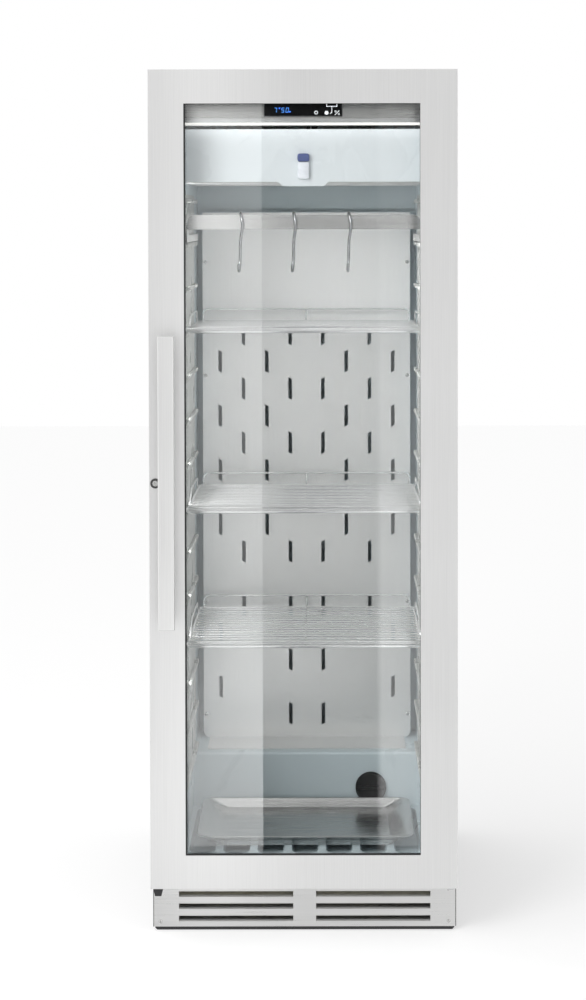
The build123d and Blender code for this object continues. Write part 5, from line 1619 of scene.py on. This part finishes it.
@dataclass
class DripTray:
    """The pressed tray on the floor, with sloping walls and a rolled rim.

    Its section is given from the rim's edge to the floor, as inset, share of the wall's run, and depth.
    """

    corner: float = 24.0 * MM
    floor_corner: float = 12.0 * MM
    rim: float = 5.0 * MM
    side_run: float = 42.0 * MM
    end_run: float = 5.0 * MM
    sheet: float = 1.2 * MM
    steps: int = 10
    floor_shares: tuple[float, ...] = (0.001, 0.25, 0.5, 0.75)

    def build(self) -> None:
        """Makes the tray."""
        low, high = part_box("drip_tray")
        middle, half = (low + high) / 2, (high - low) / 2
        drop, sheet, rim = high.z - low.z, self.sheet, self.rim
        upper = [
            (0.0, 0.0, sheet * 2), (0.0, 0.0, sheet * 0.5), (sheet * 0.5, 0.0, 0.0),
            (rim - sheet * 0.3, 0.0, 0.0), (rim + sheet * 0.5, 0.0, sheet * 0.5),
            (rim + sheet, 0.06, sheet * 1.8), (rim + sheet, 0.9, drop - sheet * 2.2),
            (rim + sheet, 0.97, drop - sheet * 1.3), (rim + sheet * 2, 1.0, drop - sheet),
        ]
        under = [
            (rim, 1.0, drop), (rim, 0.94, drop - sheet * 0.6), (rim, 0.12, sheet * 2),
            (sheet, 0.0, sheet * 2),
        ]
        rings = []
        for inset, share, depth in (*reversed(upper), *reversed(under)):
            half_x = half.x - inset - self.side_run * share
            half_y = half.y - inset - self.end_run * share
            corner = self.corner + rim - inset + (self.floor_corner - self.corner) * share
            loop = rounded_loop(half_x, half_y, corner, self.steps)
            rings.append([(middle.x + x, middle.y + y, high.z - depth) for x, y in loop])
        inner = rings[0]
        floor = [self.shrunk(inner, middle, share, inner[0][2]) for share in self.floor_shares]
        underside = [self.shrunk(inner, middle, share, low.z) for share in reversed(self.floor_shares)]
        shell = loop_stack("tray_shell", [*floor, *rings, *underside], capped=False)
        place(piece_from_mesh("tray_shell", shell, PALETTE.tray_steel), "tray", "drip_tray")

    def shrunk(self, ring: list[Point], middle: Vector, share: float, z: float) -> list[Point]:
        """A ring of the flat floor, as a share of its edge."""
        return [(middle.x + (x - middle.x) * share, middle.y + (y - middle.y) * share, z) for x, y, _ in ring]


@dataclass
class AirFilter:
    """The round cap in the step at the back, with its raised rim and grip bar.

    The rim's section is an inset from the cap's edge and a depth from its front. The grip's levels are a
    depth and shares of its half height and half width. Insets and depths are in millimetres.
    """

    rim_section: tuple[Pair, ...] = (
        (5.5, 8.2), (4.0, 7.36), (3.5, 4.4), (2.0, 4.0), (0.8, 4.5), (0.0, 5.6), (0.0, 12.0))
    neck: float = 25.0 * MM
    grip_half: float = 4.5 * MM
    grip_inset: float = 2.4 * MM
    grip_levels: tuple[tuple[float, float, float], ...] = (
        (8.2, 1.0, 1.0), (5.8, 1.0, 1.0), (3.6, 0.7, 0.5), (0.6, 0.62, 0.48), (0.0, 0.5, 0.45))
    sides: int = 72

    def build(self) -> None:
        """Makes the cap over the filter's body."""
        low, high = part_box("air_filter")
        middle = (low + high) / 2
        radius = (high.z - low.z) / 2
        rim = [(radius - inset * MM, low.y + depth * MM) for inset, depth in self.rim_section]
        profile = [
            (SPECK, rim[0][1]), *rim, (self.neck, rim[-1][1]), (self.neck, high.y), (SPECK, high.y)]
        rings = []
        for depth, tall, wide in self.grip_levels:
            half = self.grip_half * tall
            loop = rounded_loop((radius - self.grip_inset) * wide, half, half * 0.6, 4)
            rings.append([(middle.x + x, low.y + depth * MM, middle.z + z) for x, z in loop])
        cap = turned_form("filter_cap", profile, (middle.x, 0.0, middle.z), self.sides)
        meshes = [cap, loop_stack("filter_grip", rings)]
        piece = piece_from_mesh("filter_cap", joined("filter_cap", meshes), PALETTE.black)
        place(piece, "filter", "air_filter")


@dataclass
class Door(Dressing):
    """The steel door skin with its glass unit, seals, handle, lock and rest block."""

    finishes: Finishes = (
        (PALETTE.door_steel, ("door_frame",)), (PALETTE.frame_core, ("door_inner_frame",)),
        (PALETTE.handle_steel, ("handle",)), (PALETTE.glass, ("outer_glass", "inner_glass")),
        (PALETTE.profile, ("glass_spacer",)), (PALETTE.seal, ("glazing_seal",)),
        (PALETTE.gasket, ("door_gasket",)), (PALETTE.black, ("door_rest_block",)),
        (PALETTE.lock_ring, ("lock_barrel",)), (PALETTE.fixing, ("lock_plug",)),
    )


@dataclass
class MachineCompartment(Dressing):
    """The kick plate, and the compressor, condenser and pipes behind it."""

    finishes: Finishes = (
        (PALETTE.kick_steel, ("kick_plate",)), (PALETTE.shell, ("compressor",)),
        (PALETTE.seal, ("compressor_mounts",)), (PALETTE.fins, ("condenser_coil",)),
        (PALETTE.black, ("relay_box", "condenser_fan", "evaporation_pan", "power_inlet")),
        (PALETTE.zinc, ("condenser_fan_holder",)), (PALETTE.copper, ("refrigerant_pipes",)),
    )


@dataclass
class Lamp:
    """A soft lamp with a rectangular face, whose own shape shows in no mirror."""

    name: str
    place: Point
    aim: Point
    size: Pair
    watts: float

    def build(self) -> None:
        """Hangs the lamp and points it at its aim."""
        data = bpy.data.lights.new(self.name, "AREA")
        data.shape = "RECTANGLE"
        data.size, data.size_y = self.size
        data.energy = self.watts
        lamp = added(self.name, data)
        lamp.location = self.place
        lamp.rotation_euler = (Vector(self.aim) - Vector(self.place)).to_track_quat("-Z", "Y").to_euler()
        lamp.visible_camera = False
        lamp.visible_glossy = False


@dataclass
class Studio:
    """The floor, the world, the softbox, the lamps and the camera at the photograph's angle.

    Places in the world are given on a plane one unit ahead of the front, as across and rise.
    """

    camera_place: tuple[float, float, float] = (0.04899, -4.02427, 1.39732)
    tilt_down: float = 1.17315
    roll: float = 0.10227
    lens: float = 69.50163
    shift: Pair = (-0.0354813, -0.2413567)
    floor_half: float = 9.0
    floor_colour: Colour = (0.85, 0.85, 0.85)
    floor_share: float = 0.35
    floor_glow: float = 1.5
    softbox_y: float = -1.5
    softbox_left: float = -0.335
    softbox_right: float = -0.121
    softbox_foot: float = -0.27
    softbox_top: float = 2.3
    softbox_fade: Pair = (0.02, 0.42)
    softbox_low: float = 2.1
    softbox_high: float = 0.85
    front_start: float = -0.09
    front_fade: float = 0.02
    front_dark: float = 0.035
    front_edge: float = 0.026
    front_soft: float = 0.0015
    glass_end: float = 0.05
    glass_fade: float = 0.03
    right_rise: Pair = (-0.22, -0.03)
    right_low: float = 1.25
    right_high: float = 0.3
    side_level: float = 1.1
    top_rise: Pair = (0.35, 0.9)
    far_reach: Pair = (1.0, 2.0)
    far_left: float = 1.2
    far_right: float = 0.6
    facing: Pair = (0.1, 0.3)
    least_ahead: float = 0.0001
    spread_half: float = 0.5
    diffuse_left: float = 1.1
    diffuse_right: float = 0.5
    strip_lift: float = 3.0 * MM

    def build(self) -> None:
        """Makes the whole studio."""
        self.floor()
        self.softbox()
        self.world()
        self.lamps()
        self.camera()
        bpy.context.scene.view_settings.view_transform = "Standard"

    def stage_sheet(self, name: str, corners: Sequence[Point], shown: bpy.types.Material) -> bpy.types.Object:
        """A flat sheet that belongs to the studio.

        Args:
            name: its name.
            corners: its four corners.
            shown: its material.

        Returns:
            The sheet.
        """
        mesh = bpy.data.meshes.new(name)
        mesh.from_pydata(corners, [], [(0, 1, 2, 3)])
        mesh.materials.append(shown)
        sheet = added(name, mesh)
        return sheet

    def floor(self) -> None:
        """A white floor that keeps the shadow and shows as the white background."""
        material, graph = blank_material("studio_floor")
        shader = graph.add("ShaderNodeBsdfDiffuse", {"Color": rgba(self.floor_colour)})
        white = graph.add("ShaderNodeEmission", {"Color": rgba((1, 1, 1)), "Strength": self.floor_glow})
        rays = graph.add("ShaderNodeLightPath")
        share = graph.math("MULTIPLY", rays.outputs["Is Camera Ray"], self.floor_share)
        mixed = graph.add("ShaderNodeMixShader", {0: share, 1: shader.outputs[0], 2: white.outputs[0]})
        graph.add("ShaderNodeOutputMaterial", {"Surface": mixed.outputs[0]})
        half = self.floor_half
        corners = [(-half, -half, 0), (half, -half, 0), (half, half, 0), (-half, half, 0)]
        floor = self.stage_sheet("studio_floor", corners, material)
        floor.visible_glossy = False
        floor.visible_transmission = False

    def softbox(self) -> None:
        """A tall white sheet at the left front, brighter near the floor, that the camera doesn't see."""
        material, graph = blank_material("softbox")
        height = graph.add("ShaderNodeSeparateXYZ", {0: graph.place()}).outputs["Z"]
        level = graph.ranged(height, *self.softbox_fade, self.softbox_low, self.softbox_high)
        back = graph.add("ShaderNodeNewGeometry").outputs["Backfacing"]
        lit = graph.math("MULTIPLY", level, graph.math("SUBTRACT", 1.0, back))
        glow = graph.add("ShaderNodeEmission", {"Color": rgba((1, 1, 1)), "Strength": lit})
        graph.add("ShaderNodeOutputMaterial", {"Surface": glow.outputs[0]})
        y, left, right = self.softbox_y, self.softbox_left, self.softbox_right
        foot, top = self.softbox_foot, self.softbox_top
        corners = [(left, y, foot), (left, y, top), (right, y, top), (right, y, foot)]
        sheet = self.stage_sheet("softbox", corners, material)
        sheet.visible_camera = False
        sheet.visible_shadow = False

    def mirrored_front(self, graph: Graph, across: Any, rise: Any) -> bpy.types.NodeSocket:
        """What a mirror sees ahead: white at the left, dark up to one edge, then graded, and white above.

        Args:
            graph: the world's graph.
            across: where a ray meets the front, across.
            rise: where it meets the front, up.

        Returns:
            The front's brightness.
        """
        edge, soft = self.front_edge, self.front_soft
        right = graph.ranged(across, edge - soft, edge + soft, 0.0, 1.0)
        graded = graph.ranged(rise, *self.right_rise, self.right_low, self.right_high)
        beside = graph.ranged(across, self.glass_end, self.glass_end + self.glass_fade, 0.0, 1.0)
        graded = graph.blend_value(beside, graded, self.side_level)
        front = graph.blend_value(right, self.front_dark, graded)
        left = graph.ranged(across, self.front_start - self.front_fade, self.front_start, 1.0, 0.0)
        front = graph.blend_value(left, front, 1.0)
        front = graph.blend_value(graph.ranged(rise, *self.top_rise, 0.0, 1.0), front, 1.0)
        near, far = self.far_reach
        far_left = graph.ranged(across, -far, -near, self.far_left, 1.0)
        far_right = graph.ranged(across, near, far, 1.0, self.far_right)
        return graph.math("MULTIPLY", front, graph.math("MULTIPLY", far_left, far_right))

    def world(self) -> None:
        """A white world with a graded front for glossy rays and less diffuse light from the right."""
        world = bpy.data.worlds.new("studio_world")
        bpy.context.scene.world = world
        world.use_nodes = True
        graph = Graph(world.node_tree)
        graph.tree.nodes.clear()
        rays = graph.add("ShaderNodeLightPath").outputs
        way = graph.add("ShaderNodeTexCoord").outputs["Generated"]
        split = graph.add("ShaderNodeSeparateXYZ", {0: way}).outputs
        ahead = graph.math("MULTIPLY", split["Y"], -1.0)
        distance = graph.math("MAXIMUM", ahead, self.least_ahead)
        front = self.mirrored_front(
            graph, graph.math("DIVIDE", split["X"], distance), graph.math("DIVIDE", split["Z"], distance))
        mirrored = graph.blend_value(graph.ranged(ahead, *self.facing, 0.0, 1.0), 1.0, front)
        through = graph.math("MAXIMUM", rays["Is Glossy Ray"], rays["Is Transmission Ray"])
        half = self.spread_half
        spread = graph.ranged(split["X"], -half, half, self.diffuse_left, self.diffuse_right)
        level = graph.blend_value(through, spread, mirrored)
        level = graph.blend_value(rays["Is Camera Ray"], level, 1.0)
        background = graph.add("ShaderNodeBackground", {"Color": rgba((1, 1, 1)), "Strength": level})
        graph.add("ShaderNodeOutputWorld", {"Surface": background.outputs[0]})

    def lamps(self) -> None:
        """Hangs a high lamp, the strip's lamp, one below the rail and one along the left wall."""
        strip_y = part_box("light_profile")[0].y
        strip_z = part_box("evaporator_cover")[1].z + self.strip_lift
        rail_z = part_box("hanger_rail")[0].z
        for lamp in (
            Lamp("over_lamp", (-1.3, -2.2, 2.1), (0.25, 0.0, 0.9), (1.2, 1.2), 32.0),
            Lamp("strip_lamp", (0, strip_y, strip_z), (0, strip_y + 0.05, strip_z - 1), (0.46, 0.008), 0.025),
            Lamp("inner_lamp", (0.08, -0.13, rail_z), (0.2, 0.2, rail_z - 0.55), (0.2, 0.04), 0.85),
            Lamp("side_lamp", (-0.236, -0.1, 0.95), (0.24, 0.0, 0.95), (0.02, 1.1), 1.4),
        ):
            lamp.build()

    def camera(self) -> None:
        """Adds the camera."""
        data = bpy.data.cameras.new("photo_camera")
        data.lens = self.lens
        data.shift_x, data.shift_y = self.shift
        camera = added("photo_camera", data)
        camera.location = self.camera_place
        turn = Matrix.Rotation(math.radians(90 - self.tilt_down), 4, "X")
        camera.rotation_euler = (turn @ Matrix.Rotation(math.radians(-self.roll), 4, "Z")).to_euler()
        bpy.context.scene.camera = camera


def main() -> None:
    """Builds every sub-assembly in order, then the studio."""
    logging.basicConfig(level=logging.INFO, format="%(name)s: %(message)s")
    for assembly in (
        CabinetCase(), Interior(), Screws(), CoolingUnit(), ControlStrip(), HangingRail(), WireShelves(),
        DripTray(), AirFilter(), Door(), MachineCompartment(), Studio(),
    ):
        LOG.info("building %s", type(assembly).__name__)
        assembly.build()


if __name__ == "__main__":
    main()
